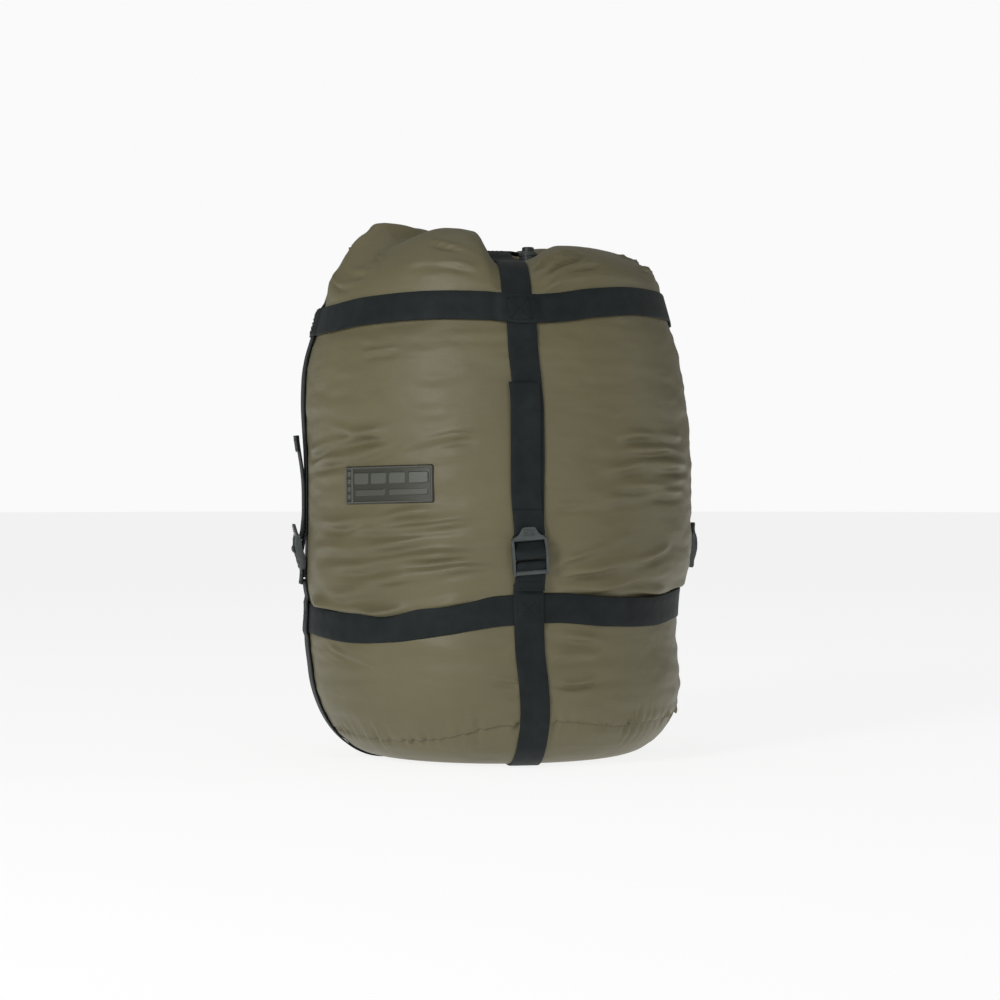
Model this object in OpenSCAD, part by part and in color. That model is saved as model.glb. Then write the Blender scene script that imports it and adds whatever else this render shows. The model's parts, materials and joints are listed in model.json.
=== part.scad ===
// Compression stuff sack: a round fabric sack packed full, gathered shut with a drawcord,
// and squeezed from top to bottom by four webbing straps with ladder-lock buckles.
// Frame: +Z up, origin at the middle of the base on the floor, front strap on -Y.

/* [Sack] */
// Radius of the fabric wall between the two hoops
sack_r = 168; // [164:1:172]
// Radius of the flat part of the base
base_r = 105; // [95:1:112]
// Thickness of the fabric walls, with their padding
fabric_t = 2; // [1.5:0.1:2.5]
// Height of the seam between the base panel and the wall
base_seam_z = 30; // [20:1:40]
// Height of the join between the lower part and the middle part
low_joint_z = 127; // [120:1:130]
// Height of the join between the middle part and the top part
high_joint_z = 384.5; // [380:0.5:386]
// How far the straps can squeeze the sack down
squeeze = 50; // [20:1:60]

/* [Webbing] */
// Width of the straps and hoops
web_w = 25; // [20:1:26]
// Thickness of the straps and hoops
web_t = 1.5; // [1.2:0.1:1.6]
// Gap between webbing and what it lies on
web_gap = 0.3; // [0.2:0.05:0.4]
// Height of the lower hoop's middle
low_hoop_z = 129.5; // [125:0.5:131]
// Height of the upper hoop's middle
high_hoop_z = 384; // [382:0.5:386]

/* [Ladder locks] */
// Height of the bar at the lower end of each buckle
buckle_z = 165; // [162:1:170]
// Overall width of a buckle
buckle_w = 32; // [31:0.5:34]
// Radius of a buckle's cross bars
bar_r = 1.8; // [1.5:0.1:1.9]
// Top end of the front strap's loose tail
front_tail_z = 321; // [260:1:325]
// Top end of the other three loose tails
side_tail_z = 279; // [240:1:300]

/* [Drawcord and cord lock] */
// Diameter of the drawcord
cord_d = 3; // [2:0.1:3.2]
// Diameter of the cord lock's barrel
lock_d = 15; // [14:0.5:17]
// Travel of the cord lock's button
button_travel = 4; // [3:0.5:4]

/* [Label] */
// Width of the patch round the sack
label_w = 88; // [60:1:100]
// Height of the patch
label_h = 32; // [20:1:40]
// Angle of the patch's middle, from the front strap towards the left strap
label_angle = 41.4; // [35:0.1:45]

/* [Hidden] */
SIDES = ["front", "right", "back", "left"];
$fn = 96;

olive = [0.42, 0.39, 0.31];
slate = [0.15, 0.17, 0.17];
buckle_grey = [0.22, 0.24, 0.24];

solid_gap = 0.3;          // between soft solids that meet
fill_gap = 0.5;           // between the packed bag and the fabric round it
lift = web_t + web_gap;   // how far a strap rises to cross another
floor_z = lift;           // underside of the base fabric, on top of the crossed straps
low_r = sack_r - 6;       // wall radius under the lower hoop
corner_z = 75;            // where the rounded bottom edge becomes the straight wall
neck_r = 152.4;           // wall radius at the high joint

// ---- curves --------------------------------------------------------------------------

function tangent(p, i) =
    let (d = p[min(i + 1, len(p) - 1)] - p[max(i - 1, 0)]) d / norm(d);
function shifted(p, d) =
    [for (i = [0 : len(p) - 1])
        let (t = tangent(p, i), s = is_list(d) ? d[i] : d) p[i] + s * [t[1], -t[0]]];
function reversed(p) = [for (i = [len(p) - 1 : -1 : 0]) p[i]];
function mirrored(p) = [for (q = p) [-q[0], q[1]]];
function tail_of(p) = [for (i = [1 : len(p) - 1]) p[i]];
function spline_point(a, b, c, d, t) =
    0.5 * (2 * b + (c - a) * t + (2 * a - 5 * b + 4 * c - d) * t * t
           + (3 * b - a - 3 * c + d) * t * t * t);
function smooth(p, n = 3) =
    concat([for (i = [0 : len(p) - 2], k = [0 : n - 1])
        spline_point(p[max(i - 1, 0)], p[i], p[i + 1], p[min(i + 2, len(p) - 1)], k / n)],
        [p[len(p) - 1]]);
// 0 below a, 1 above b
function ramp(x, a, b) = min(1, max(0, (x - a) / (b - a)));

// ---- the wall's outline, radius and height, from the base to the high joint ------------

corner_path = [for (a = [0 : 7.5 : 90])
    [base_r + (low_r - base_r) * sin(a), corner_z - (corner_z - floor_z) * cos(a)]];
middle_path = smooth([[low_r, 142], [sack_r - 1.5, 156], [sack_r, 170], [sack_r, 230], [sack_r, 295],
    [sack_r - 2, 325], [162, 350], [156.6, 371], [neck_r, high_joint_z]]);
seam_t = acos((corner_z - base_seam_z) / (corner_z - floor_z));
seam_point = [base_r + (low_r - base_r) * sin(seam_t), base_seam_z];

base_path = concat([for (q = corner_path) if (q[1] < base_seam_z - 1) q], [seam_point]);
lower_path = concat([seam_point], [for (q = corner_path) if (q[1] > base_seam_z + 1) q],
                    [[low_r, low_joint_z]]);
full_middle_path = concat([[low_r, low_joint_z]], middle_path);

// ---- strap routes over the top, as the fabric's own outline under each strap -----------

front_crown = [[neck_r, high_joint_z], [149, 396.5], [141, 410], [128, 422], [112, 428.5],
               [90, 430.5], [50, 434.5], [28, 437], [17, 437], [0, 437]];
back_crown = [[neck_r, high_joint_z], [149, 396.5], [142, 412], [130, 426], [112, 436],
              [88, 439], [48, 438], [28, 437], [17, 437], [0, 437]];
right_crown = [[neck_r, high_joint_z], [149, 396.5], [141, 411], [128, 424], [110, 432.5],
               [85, 436], [45, 437], [28, 437], [17, 437], [0, 437]];
left_crown = [[neck_r, high_joint_z], [149, 397], [140, 416], [128, 434], [115, 449], [103, 456],
              [84, 456], [52, 445], [28, 437], [17, 437], [0, 437]];
under_hoop = [[156.6, 371], [neck_r, high_joint_z]];

function crown(a, b) = concat(smooth(a), tail_of(reversed(mirrored(smooth(b)))));

// ---- helpers ---------------------------------------------------------------------------

// Turns a part drawn at the front to side 0 front, 1 right, 2 back, 3 left
module on_side(i) { rotate([0, 0, 90 * i]) children(); }

// Draws a flat outline of radius and height in the front's plane, width wide across it
module across(width, x = 0) {
    translate([x, 0, 0]) rotate([90, 0, -90]) linear_extrude(width, center = true) children();
}

module strip(path, inner, outer) {
    polygon(concat(shifted(path, outer), reversed(shifted(path, inner))));
}

module cross_bar(radius_out, height, r, length) {
    translate([0, -radius_out, height]) rotate([0, 90, 0])
        cylinder(r = r, h = length, center = true, $fn = 48);
}

module shell(path, t) {
    rotate_extrude() polygon(concat(path, reversed(shifted(path, -t))));
}

// ---- fabric ----------------------------------------------------------------------------

base_t = 3.5;             // thickness of the padded base
recess_w = web_w + 11;    // square recess over the two crossed straps

module base_panel() {
    color(olive) difference() {
        shell(concat([[0.01, floor_z]], base_path), base_t);
        translate([0, 0, base_seam_z]) cylinder(r = 200, h = 20);
        translate([0, 0, floor_z]) cube([recess_w, recess_w, 2 * lift], center = true);
    }
}

module lower_fabric() {
    color(olive) difference() {
        shell(lower_path, fabric_t);
        translate([0, 0, base_seam_z - 20]) cylinder(r = 200, h = 20 + solid_gap);
        translate([0, 0, low_joint_z - solid_gap / 2]) cylinder(r = 200, h = 10);
    }
}

module middle_fabric() {
    color(olive) difference() {
        shell(full_middle_path, fabric_t);
        translate([0, 0, low_joint_z - 10]) cylinder(r = 200, h = 10 + solid_gap / 2);
        translate([0, 0, high_joint_z - solid_gap / 2]) cylinder(r = 200, h = 10);
    }
}

puff_r = 75;              // radius at which each puff is highest
puff_tops = [446, 446, 461, 458];   // front right, back right, back left, front left
valley = web_w / 2 + 0.6; // half width of the gap that a strap lies in
mouth_r = 40;             // radius of the hollow that the gathered mouth sits in
mouth_floor = 424;
pocket_floor = 417;       // under the cord lock
lock_angle = 31;          // of the cord lock, from the front strap towards the right strap
cavity = [[149.5, high_joint_z - 5], [149.5, high_joint_z], [147, 397], [138, 408], [120, 413], [0, 413],
          [0, high_joint_z - 5]];

module puff(top) {
    foot = [149.2, high_hoop_z + web_w / 2 + 0.5];
    outline = concat([[neck_r, high_joint_z]],
        [for (a = [0 : 9 : 90]) [puff_r + (foot[0] - puff_r) * cos(a), foot[1] + (top - foot[1]) * sin(a)]],
        [[mouth_r + 12, top - 4], [mouth_r, top - 14], [0, top - 20], [0, high_joint_z]]);
    intersection() {
        rotate_extrude() polygon(outline);
        translate([valley, -valley - 200, high_joint_z]) cube([200, 200, 200]);
    }
}

module ridge(path) {
    across(2 * valley + 1) polygon(path);
}

module upper_fabric() {
    color(olive) difference() {
        union() {
            for (i = [0 : 3]) on_side(i) puff(puff_tops[i]);
            ridge(crown(front_crown, back_crown));
            on_side(1) ridge(crown(right_crown, left_crown));
        }
        rotate_extrude() polygon(cavity);
        translate([0, 0, mouth_floor]) cylinder(r = mouth_r, h = 60);
        rotate([0, 0, lock_angle]) {
            translate([-11, -82, mouth_floor]) cube([22, 60, 60]);
            translate([-9, -70, pocket_floor]) cube([18, 40, 60]);
        }
        translate([0, 0, high_joint_z - 10]) cylinder(r = 200, h = 10 + solid_gap / 2);
    }
}

// ---- gathered mouth, drawcord and cord lock ----------------------------------------------

hem_z = 430;              // height of the drawcord inside its hem
hem_r = 29;               // radius of the drawcord's ring
strand_x = 1.65;          // the two ends of the cord lie this far either side of their middle
knot_y = 74;              // distance of the knot from the sack's axis
knot_l = 7.6;
lock_y = 50.5;            // distance of the cord lock from the sack's axis
lock_bottom = 417.5;
lock_top = 437.5;
button_top = 441.5;
button_r = 5.2;

module gathered_mouth() {
    color(olive) translate([0, 0, mouth_floor + solid_gap]) cylinder(r = 20, h = 9);
}

module drawcord_hem() {
    color(olive) difference() {
        rotate_extrude() translate([hem_r, hem_z]) offset_box(17, 10.5, 3);
        rotate_extrude() translate([hem_r, hem_z]) circle(r = cord_d / 2 + 0.4, $fn = 32);
        rotate([0, 0, lock_angle]) translate([-4.5, -45, hem_z - 2.2]) cube([9, 45 - hem_r, 4.4]);
    }
}

// A rectangle with rounded corners, centred
module offset_box(w, h, r) {
    for (x = [-1, 1], y = [-1, 1]) translate([x * (w / 2 - r), y * (h / 2 - r)]) circle(r = r, $fn = 32);
    square([w - 2 * r, h], center = true);
    square([w, h - 2 * r], center = true);
}

// A round cord along a flat route, as one tube
module round_cord(route, r, sides = 10) {
    n = len(route);
    points = [for (i = [0 : n - 1], k = [0 : sides - 1])
        let (t = tangent(route, i), a = 360 * k / sides)
        [route[i][0] - r * cos(a) * t[1], route[i][1] + r * cos(a) * t[0], r * sin(a)]];
    walls = [for (i = [0 : n - 2], k = [0 : sides - 1])
        let (j = (k + 1) % sides)
        [i * sides + k, i * sides + j, (i + 1) * sides + j, (i + 1) * sides + k]];
    caps = [[for (k = [sides - 1 : -1 : 0]) k], [for (k = [0 : sides - 1]) (n - 1) * sides + k]];
    polyhedron(points, concat(walls, caps), convexity = 4);
}

// The ring in the hem, and its two ends side by side through the cord lock to the knot
module drawcord() {
    half_end = [[-strand_x, -knot_y + knot_l / 2], [-strand_x, -34], [-2, -31.6], [-3.6, -29.4]];
    ring = [for (a = [14 : 8.3 : 347]) [-hem_r * sin(a), -hem_r * cos(a)]];
    color(slate) translate([0, 0, hem_z]) rotate([0, 0, lock_angle])
        round_cord(concat(half_end, ring, reversed(mirrored(half_end))), cord_d / 2);
}

module drawcord_knot() {
    color(slate) rotate([0, 0, lock_angle]) translate([0, -knot_y, hem_z]) rotate([90, 0, 0]) {
        cylinder(r = 4.2, h = 3.6, center = true, $fn = 48);
        cylinder(r = 3.2, h = knot_l, center = true, $fn = 48);
    }
}

module at_lock() { rotate([0, 0, lock_angle]) translate([0, -lock_y, 0]) children(); }

module cord_lock_barrel() {
    color(buckle_grey) at_lock() difference() {
        union() {
            translate([0, 0, lock_bottom]) cylinder(d = lock_d, h = lock_top - lock_bottom);
            translate([0, 0, lock_top - 4]) cylinder(d = lock_d + 1.4, h = 2.4);
        }
        translate([0, 0, lock_bottom + 2]) cylinder(r = button_r + 0.2, h = 40);
        translate([0, 0, hem_z]) rotate([90, 0, 0]) cylinder(r = 3.4, h = 40, center = true, $fn = 48);
    }
}

module cord_lock_button() {
    slot_low = hem_z + 0.6;
    button_low = lock_bottom + 8;
    color(slate) at_lock() difference() {
        translate([0, 0, button_low]) cylinder(r = button_r, h = button_top - button_low);
        for (z = [slot_low, slot_low + button_travel - 1])
            translate([0, 0, z]) rotate([90, 0, 0]) cylinder(r = 3.4, h = 40, center = true, $fn = 48);
        translate([-3.4, -20, slot_low]) cube([6.8, 40, button_travel - 1]);
    }
}

module cord_lock_spring() {
    wire = 0.7;
    coil_r = 3.6;
    low = lock_bottom + 2 + wire / 2 + 0.1;
    color("silver") at_lock() translate([0, 0, low])
        linear_extrude(height = 5, twist = -1080, slices = 72, $fn = 10)
            translate([coil_r, 0]) circle(d = wire, $fn = 10);
}

// ---- what the sack holds -------------------------------------------------------------------

module packed_bag_lower() {
    top = high_joint_z - squeeze - 1.5;
    low_edge = high_hoop_z - web_w / 2 - squeeze;
    inner = shifted(concat(base_path, tail_of(lower_path)), -(base_t + fill_gap));
    outline = concat([[0, floor_z + base_t + fill_gap]], [for (q = inner) if (q[1] < low_joint_z - 4) q],
        [[low_r - 4, low_joint_z], [low_r - 3, 150], [sack_r - 3.5, 170], [sack_r - 3.5, low_edge - 30],
         [hoop_low_r - 1.5, low_edge - 3], [hoop_low_r - 1.5 - (top - low_edge) * hoop_lean, top], [0, top]]);
    color("dimgray") rotate_extrude() polygon(outline);
}

module packed_bag_upper() {
    color("dimgray") rotate_extrude() polygon([[0, high_joint_z + 1], [148.5, high_joint_z + 1], [146.2, 397],
        [137.4, 407.4], [119.6, 412.3], [0, 412.3]]);
}

// ---- hoops ---------------------------------------------------------------------------------

module lower_hoop() {
    color(slate) translate([0, 0, low_hoop_z - web_w / 2]) difference() {
        cylinder(r = low_r + web_gap + web_t, h = web_w);
        translate([0, 0, -1]) cylinder(r = low_r + web_gap, h = web_w + 2);
    }
}

hoop_low_r = 157;         // inner radius of the upper hoop's two edges
hoop_high_r = 149.9;
hoop_lean = (hoop_low_r - hoop_high_r) / web_w;
bridge_half = web_w / 2 + 0.8;
bridge_foot = 19;

// The upper hoop rises over each strap in a flat bridge with sloping ends
module bridge() {
    top = 2 * web_gap + web_t;
    sag = bridge_foot * bridge_foot / (2 * hoop_low_r);
    tilt = atan(hoop_lean);
    mid_r = (hoop_low_r + hoop_high_r) / 2;
    half_plan = [[-bridge_foot, web_gap - sag], [-bridge_half, top]];
    plan = concat(half_plan, reversed(mirrored(half_plan)));
    translate([0, -mid_r, high_hoop_z]) rotate([-tilt, 0, 0]) mirror([0, 1, 0])
        linear_extrude(web_w / cos(tilt), center = true)
            polygon(concat(plan, reversed([for (q = plan) q + [0, web_t]])));
}

module upper_hoop() {
    low = high_hoop_z - web_w / 2;
    color(slate) {
        difference() {
            rotate_extrude() polygon([[hoop_low_r + web_gap, low], [hoop_low_r + web_gap + web_t, low],
                [hoop_high_r + web_gap + web_t, low + web_w], [hoop_high_r + web_gap, low + web_w]]);
            for (i = [0 : 3]) on_side(i) translate([-bridge_foot + 1, -200, low - 1])
                cube([2 * bridge_foot - 2, 100, web_w + 2]);
        }
        for (i = [0 : 3]) on_side(i) difference() {
            bridge();
            translate([-50, -200, low - 10]) cube([100, 100, 10]);
            translate([-50, -200, low + web_w]) cube([100, 100, 10]);
        }
    }
}

// ---- straps --------------------------------------------------------------------------------

strap_end_z = buckle_z + 3.2;  // where the lower straps stop, below the loop round each buckle's bar
sewn_end_z = buckle_z - 4;     // where the looped-back end is sewn down

side_path = [[low_r, low_hoop_z - 17], [low_r, low_hoop_z - 14], [low_r, low_hoop_z + 12.4],
             [low_r + 1.4, low_hoop_z + 16], [sack_r - 1.5, 156], [sack_r - 0.3, 163], [sack_r, strap_end_z]];

// Half of a lower strap's route: out along the base, round the corner and up the wall
half_route = concat([[web_w / 2 + 1.5, floor_z], [web_w / 2 + 5, floor_z], [60, floor_z]],
                    corner_path, side_path);
function over_hoop(z) =
    lift * (ramp(z, low_hoop_z - 16.5, low_hoop_z - 14) - ramp(z, low_hoop_z + 13, low_hoop_z + 17));
// The second strap passes between the base and the first where they cross
function under_base(r, hump) = -hump * lift * (1 - ramp(abs(r), web_w / 2 + 1.5, web_w / 2 + 5));

module bottom_strap(hump) {
    route = concat(mirrored(reversed(half_route)), half_route);
    rise = [for (q = route) web_gap + over_hoop(q[1]) + (q[1] < corner_z ? under_base(q[0], hump) : 0)];
    color(slate) {
        across(web_w) strip(route, rise, [for (s = rise) s + web_t]);
        for (i = [0, 2]) on_side(i) across(web_w) translate([sack_r + web_gap + 1, 152])
            square([2 * web_t - 1, sewn_end_z - 152]);
    }
}

module bottom_strap_front_back() { bottom_strap(0); }
module bottom_strap_left_right() { on_side(1) bottom_strap(1); }

module top_strap(a, b, rise_mid) {
    route = concat([under_hoop[0]], crown(a, b), [[-under_hoop[0][0], under_hoop[0][1]]]);
    rise = [for (q = route) web_gap + rise_mid * lift * (1 - ramp(abs(q[0]), web_w / 2 + 2, web_w / 2 + 12))];
    color(slate) across(web_w) strip(route, rise, [for (s = rise) s + web_t]);
}

module top_strap_front_back() { top_strap(front_crown, back_crown, 0); }
module top_strap_left_right() { on_side(1) top_strap(right_crown, left_crown, 1); }

load_low_z = buckle_z + 12;

module load_strap(i) {
    route = concat([[sack_r, load_low_z]], [for (q = middle_path) if (q[1] > load_low_z + 2 && q[1] < 370) q],
                   [[156.7, 370.7]]);
    color(slate) on_side(i) across(web_w) strip(route, web_gap, web_gap + web_t);
}

tail_low_z = buckle_z + 21.5;

// A loose tail lies on its load strap and leans out a little towards its end
module strap_tail(i) {
    top = i == 0 ? front_tail_z : side_tail_z;
    root_r = sack_r + 2 * web_gap + web_t;
    lean = i == 0 ? 1.2 : 3.2;
    route = smooth([[root_r, tail_low_z], [root_r, tail_low_z + 30], [root_r + lean * 0.3, top - 30],
                    [root_r + lean, top]], 4);
    fold = web_t * 0.8;
    color(slate) on_side(i) across(web_w) {
        strip(route, 0, web_t);
        // hemmed end, folded back on itself
        hem = [[root_r + lean * 0.5 + web_t, top - 14], [root_r + lean + web_t, top]];
        strip(hem, -0.2, fold);
    }
}

// ---- ladder locks ----------------------------------------------------------------------------

// Each bar as distance out from the wall and height above the end bar
end_bar = [6.1, 0];
anchor_bar = [4.8, 7];    // the buckle tilts about this bar
turn_bar = [7.8, 17];
grip_bar = [8.1, 26.5];
rail_t = 3;
rail_x = buckle_w / 2 - rail_t / 2;   // of each side rail's middle
rail_outline = [[4.6, -1.9], [7.6, -1.9], [8.2, 5], [10.6, 12], [11.4, 18], [11.2, 24], [10.2, 28.5],
                [7.0, 28.5], [5.6, 23], [5.0, 16], [3.2, 10], [2.9, 4]];

function out_up(q) = [sack_r + q[0], buckle_z + q[1]];

module bar(at, r, length) { cross_bar(out_up(at)[0], out_up(at)[1], r, length); }

module ladder_lock(i) {
    color(buckle_grey) on_side(i) {
        for (x = [-1, 1]) across(rail_t, x * rail_x) polygon([for (q = smooth(rail_outline, 2)) out_up(q)]);
        for (b = [anchor_bar, turn_bar]) bar(b, bar_r, buckle_w - 2);
        bar(end_bar, 1.4, buckle_w - 2);
        bar(grip_bar, bar_r, buckle_w - 2);
        thumb_tab();
    }
}

// The thumb tab flares from the grip bar and narrows to a rounded tip, with grip ribs across it
module thumb_tab() {
    base = out_up(grip_bar);
    tip_w = 13;
    translate([0, -base[0], base[1]]) rotate([6, 0, 0]) translate([0, 1.1, 0]) rotate([90, 0, 0]) {
        linear_extrude(2.2) {
            half_tab = [[buckle_w / 2 - 1.5, 0], [10.5, 2.6], [8.3, 6], [tip_w / 2, 8.6]];
            polygon(concat(half_tab, reversed(mirrored(half_tab))));
            translate([-tip_w / 2 + 2, 0]) square([tip_w - 4, 10.6]);
            for (x = [-1, 1]) translate([x * (tip_w / 2 - 2), 8.6]) circle(r = 2, $fn = 32);
        }
        for (y = [4.4, 6.4, 8.4]) translate([-6, y, 2]) cube([12, 0.8, 0.7]);
    }
}

module ring_of_webbing(at) {
    difference() {
        bar(at, bar_r + 0.1 + web_t, web_w);
        bar(at, bar_r + 0.1, web_w + 2);
    }
}

// The load strap turns round the middle bar and comes back up as the tail
module strap_turn(i) {
    color(slate) on_side(i) ring_of_webbing(turn_bar);
}

// The lower strap's end is looped round the anchor bar
module anchor_loop(i) {
    color(slate) on_side(i) ring_of_webbing(anchor_bar);
}

// ---- label and stitching ------------------------------------------------------------------------

module label_patch() {
    half_angle = label_w / 2 / (sack_r + 1) * 180 / PI;
    mid_z = 237;
    rotate([0, 0, -90 - label_angle - half_angle]) color(buckle_grey) {
        translate([0, 0, mid_z - label_h / 2]) rotate_extrude(angle = 2 * half_angle, $fn = 180)
            translate([sack_r + web_gap, 0]) square([1.2, label_h]);
    }
}

thread = 0.7;
box_side = web_w - 5;

// A sewn square with its diagonals, as raised thread
module box_stitch() {
    linear_extrude(0.4) {
        difference() {
            square(box_side, center = true);
            square(box_side - 2 * thread, center = true);
        }
        for (a = [45, -45]) rotate(a) square([box_side * 1.36, thread], center = true);
    }
}

module on_wall(r, z, tilt = 0) {
    translate([0, -r, z]) rotate([90 - tilt, 0, 0]) children();
}

module stitches_lower() {
    color(slate) for (i = [0 : 3]) on_side(i)
        on_wall(low_r + web_gap + lift + web_t + 0.05, low_hoop_z) box_stitch();
}

module stitches_upper() {
    tilt = atan(hoop_lean);
    out = (hoop_low_r + hoop_high_r) / 2 + (2 * web_gap + 2 * web_t) / cos(tilt) + 0.25;
    color(slate) for (i = [0 : 3]) on_side(i) on_wall(out, high_hoop_z, tilt) box_stitch();
}

module stitches_crown() {
    color(slate) translate([0, 0, 437 + lift + web_gap + web_t + 0.1]) box_stitch();
}

// ---- one node at a time ----------------------------------------------------------------------------

base_panel();
lower_fabric();
middle_fabric();
upper_fabric();
gathered_mouth();
drawcord_hem();
drawcord();
drawcord_knot();
cord_lock_barrel();
cord_lock_button();
cord_lock_spring();
packed_bag_lower();
packed_bag_upper();
lower_hoop();
upper_hoop();
bottom_strap_front_back();
bottom_strap_left_right();
top_strap_front_back();
top_strap_left_right();
label_patch();
stitches_lower();
stitches_upper();
stitches_crown();
for (i = [0 : 3]) {
    load_strap(i);
    strap_tail(i);
    ladder_lock(i);
    strap_turn(i);
    anchor_loop(i);
}
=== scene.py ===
"""A packed compression stuff sack: round fabric body, two hoops, four cinch straps, gathered mouth."""
import json
import math

import bmesh
import bpy
import numpy as np
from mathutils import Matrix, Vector, noise


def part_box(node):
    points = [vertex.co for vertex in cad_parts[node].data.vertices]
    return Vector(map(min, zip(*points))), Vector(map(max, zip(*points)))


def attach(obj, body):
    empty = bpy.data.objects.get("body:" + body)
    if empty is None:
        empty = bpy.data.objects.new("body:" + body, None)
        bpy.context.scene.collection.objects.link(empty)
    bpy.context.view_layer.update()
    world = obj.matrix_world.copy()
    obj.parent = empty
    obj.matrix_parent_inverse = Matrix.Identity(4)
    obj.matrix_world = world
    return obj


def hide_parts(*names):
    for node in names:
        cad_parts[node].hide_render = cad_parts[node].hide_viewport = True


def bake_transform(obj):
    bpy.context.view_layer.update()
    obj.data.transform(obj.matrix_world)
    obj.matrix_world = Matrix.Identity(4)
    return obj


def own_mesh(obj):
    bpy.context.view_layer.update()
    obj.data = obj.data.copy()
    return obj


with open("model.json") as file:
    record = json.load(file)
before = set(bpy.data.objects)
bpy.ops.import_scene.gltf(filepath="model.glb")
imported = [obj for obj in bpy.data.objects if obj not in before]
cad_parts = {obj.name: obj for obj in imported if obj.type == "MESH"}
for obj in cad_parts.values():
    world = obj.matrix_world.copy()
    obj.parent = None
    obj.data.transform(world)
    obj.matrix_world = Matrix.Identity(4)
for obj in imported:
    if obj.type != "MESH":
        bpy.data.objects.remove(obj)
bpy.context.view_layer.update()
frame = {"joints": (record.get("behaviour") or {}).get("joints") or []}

MM = 0.001
SIDES = ["front", "right", "back", "left"]
SIDE_ANGLES = {"front": 0.0, "right": 90.0, "back": 180.0, "left": 270.0}


def mm_box(node):
    """A node's lowest and highest corners, in millimetres."""
    low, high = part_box(node)
    return np.array(low) / MM, np.array(high) / MM


def middle_of(node, axis):
    low, high = mm_box(node)
    return (low[axis] + high[axis]) / 2


def size_of(node, axis):
    low, high = mm_box(node)
    return high[axis] - low[axis]


# ---- sizes read from the frame, in millimetres ----

X, Y, Z = 0, 1, 2
middle_low, middle_high = mm_box("middle_fabric")
WALL_R = middle_high[X]
LOW_JOINT, HIGH_JOINT = middle_low[Z], middle_high[Z]
LOW_R = mm_box("lower_fabric")[1][X]
LOW_HOOP_Z = middle_of("lower_hoop", Z)
HIGH_HOOP_Z = middle_of("upper_hoop", Z)
WEB_W = size_of("lower_hoop", Z)
WEB_T = 1.5
FLOOR_Z, SEAM_Z = mm_box("base_panel")[0][Z], mm_box("base_panel")[1][Z]
LOCK_BAR_Z = middle_of("anchor_loop_front", Z)
LOCK_BAR_R = -middle_of("anchor_loop_front", Y)
LOCK_W = size_of("ladder_lock_front", X)
FRONT_TAIL_Z = mm_box("strap_tail_front")[1][Z]
SIDE_TAIL_Z = mm_box("strap_tail_left")[1][Z]
HEM_Z = middle_of("drawcord_hem", Z)
CORD_D = size_of("drawcord", Z)
SQUEEZE = -[j for j in frame["joints"] if j["name"] == "compress"][0]["range_m"][0] / MM

BASE_R = 105.0            # flat part of the base
CORNER_Z = 75.0           # where the rounded bottom edge becomes the wall
HOOP_TOP = HIGH_HOOP_Z + WEB_W / 2
FOOT_R = 149.2            # fabric radius at the upper hoop's top edge
MOUTH_R, MOUTH_Z = 35.0, 433.0
FABRIC_T, BASE_T = 1.2, 1.5
COLUMNS = 208             # of the skin's grid, round the sack
LOCK_ANGLE, LOCK_REACH = 31.0, 50.5   # where the cord lock lies, from the mouth
POCKET_Z = 424.5          # the cloth under its cord
WEB_REACH = 13            # from a strap's middle to where the cloth beside it starts


# ---- the camera, level with the middle of the sack, a little to the left of the front strap

CAMERA_ANGLE = math.radians(8.4)
CAMERA_REACH = 2.4
CAMERA_Z = 0.249
LENS_MM = 98.2
LOOK_AT = (0.0009, 0.0, CAMERA_Z - 0.0264)

camera = bpy.data.objects.new("camera", bpy.data.cameras.new("camera"))
bpy.context.collection.objects.link(camera)
camera.data.lens = LENS_MM
camera.data.clip_end = 50
camera.location = (-math.sin(CAMERA_ANGLE) * CAMERA_REACH, -math.cos(CAMERA_ANGLE) * CAMERA_REACH, CAMERA_Z)
look = Vector(LOOK_AT) - camera.location
camera.rotation_mode = "QUATERNION"
camera.rotation_quaternion = look.to_track_quat("-Z", "Y")
bpy.context.scene.camera = camera


# ---- small helpers ----

def smoothstep(x, a, b):
    t = np.clip((np.asarray(x, float) - a) / (b - a), 0, 1)
    return t * t * (3 - 2 * t)


def curve(points, x):
    """A smooth curve through points of (x, y), read at x."""
    px, py = np.array(points, float).T
    slope = np.gradient(py, px)
    steps = np.diff(py) / np.diff(px)
    for i in range(1, len(px) - 1):
        if steps[i - 1] * steps[i] <= 0:
            slope[i] = 0
        else:
            slope[i] = 2 * steps[i - 1] * steps[i] / (steps[i - 1] + steps[i])
    x = np.clip(np.asarray(x, float), px[0], px[-1])
    i = np.clip(np.searchsorted(px, x) - 1, 0, len(px) - 2)
    h = px[i + 1] - px[i]
    t = (x - px[i]) / h
    return (py[i] * (2 * t**3 - 3 * t**2 + 1) + h * slope[i] * (t**3 - 2 * t**2 + t)
            + py[i + 1] * (-2 * t**3 + 3 * t**2) + h * slope[i + 1] * (t**3 - t**2))


def around(points, degrees):
    """A smooth curve round the sack through points of (degrees from the front strap, value)."""
    ring = sorted((a % 360, v) for a, v in points)
    wrapped = [(a - 360, v) for a, v in ring[-2:]] + ring + [(a + 360, v) for a, v in ring[:2]]
    return curve(wrapped, np.asarray(degrees, float) % 360)


def strap_distance(degrees, radius):
    """Distance along the wall from the nearest strap's middle."""
    a = np.radians(np.asarray(degrees, float))
    return radius * np.minimum(np.abs(np.sin(a)), np.abs(np.cos(a)))


def arc(degrees):
    """Millimetres round the wall."""
    return degrees * math.pi / 180 * WALL_R


def ring_point(a, r, z):
    """Points at angles in radians from the front, distances from the axis, and heights."""
    return np.stack(np.broadcast_arrays(r * np.sin(a), -r * np.cos(a), z), -1)


def rotated(x, y, angle):
    return x * np.cos(angle) - y * np.sin(angle), x * np.sin(angle) + y * np.cos(angle)


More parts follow.
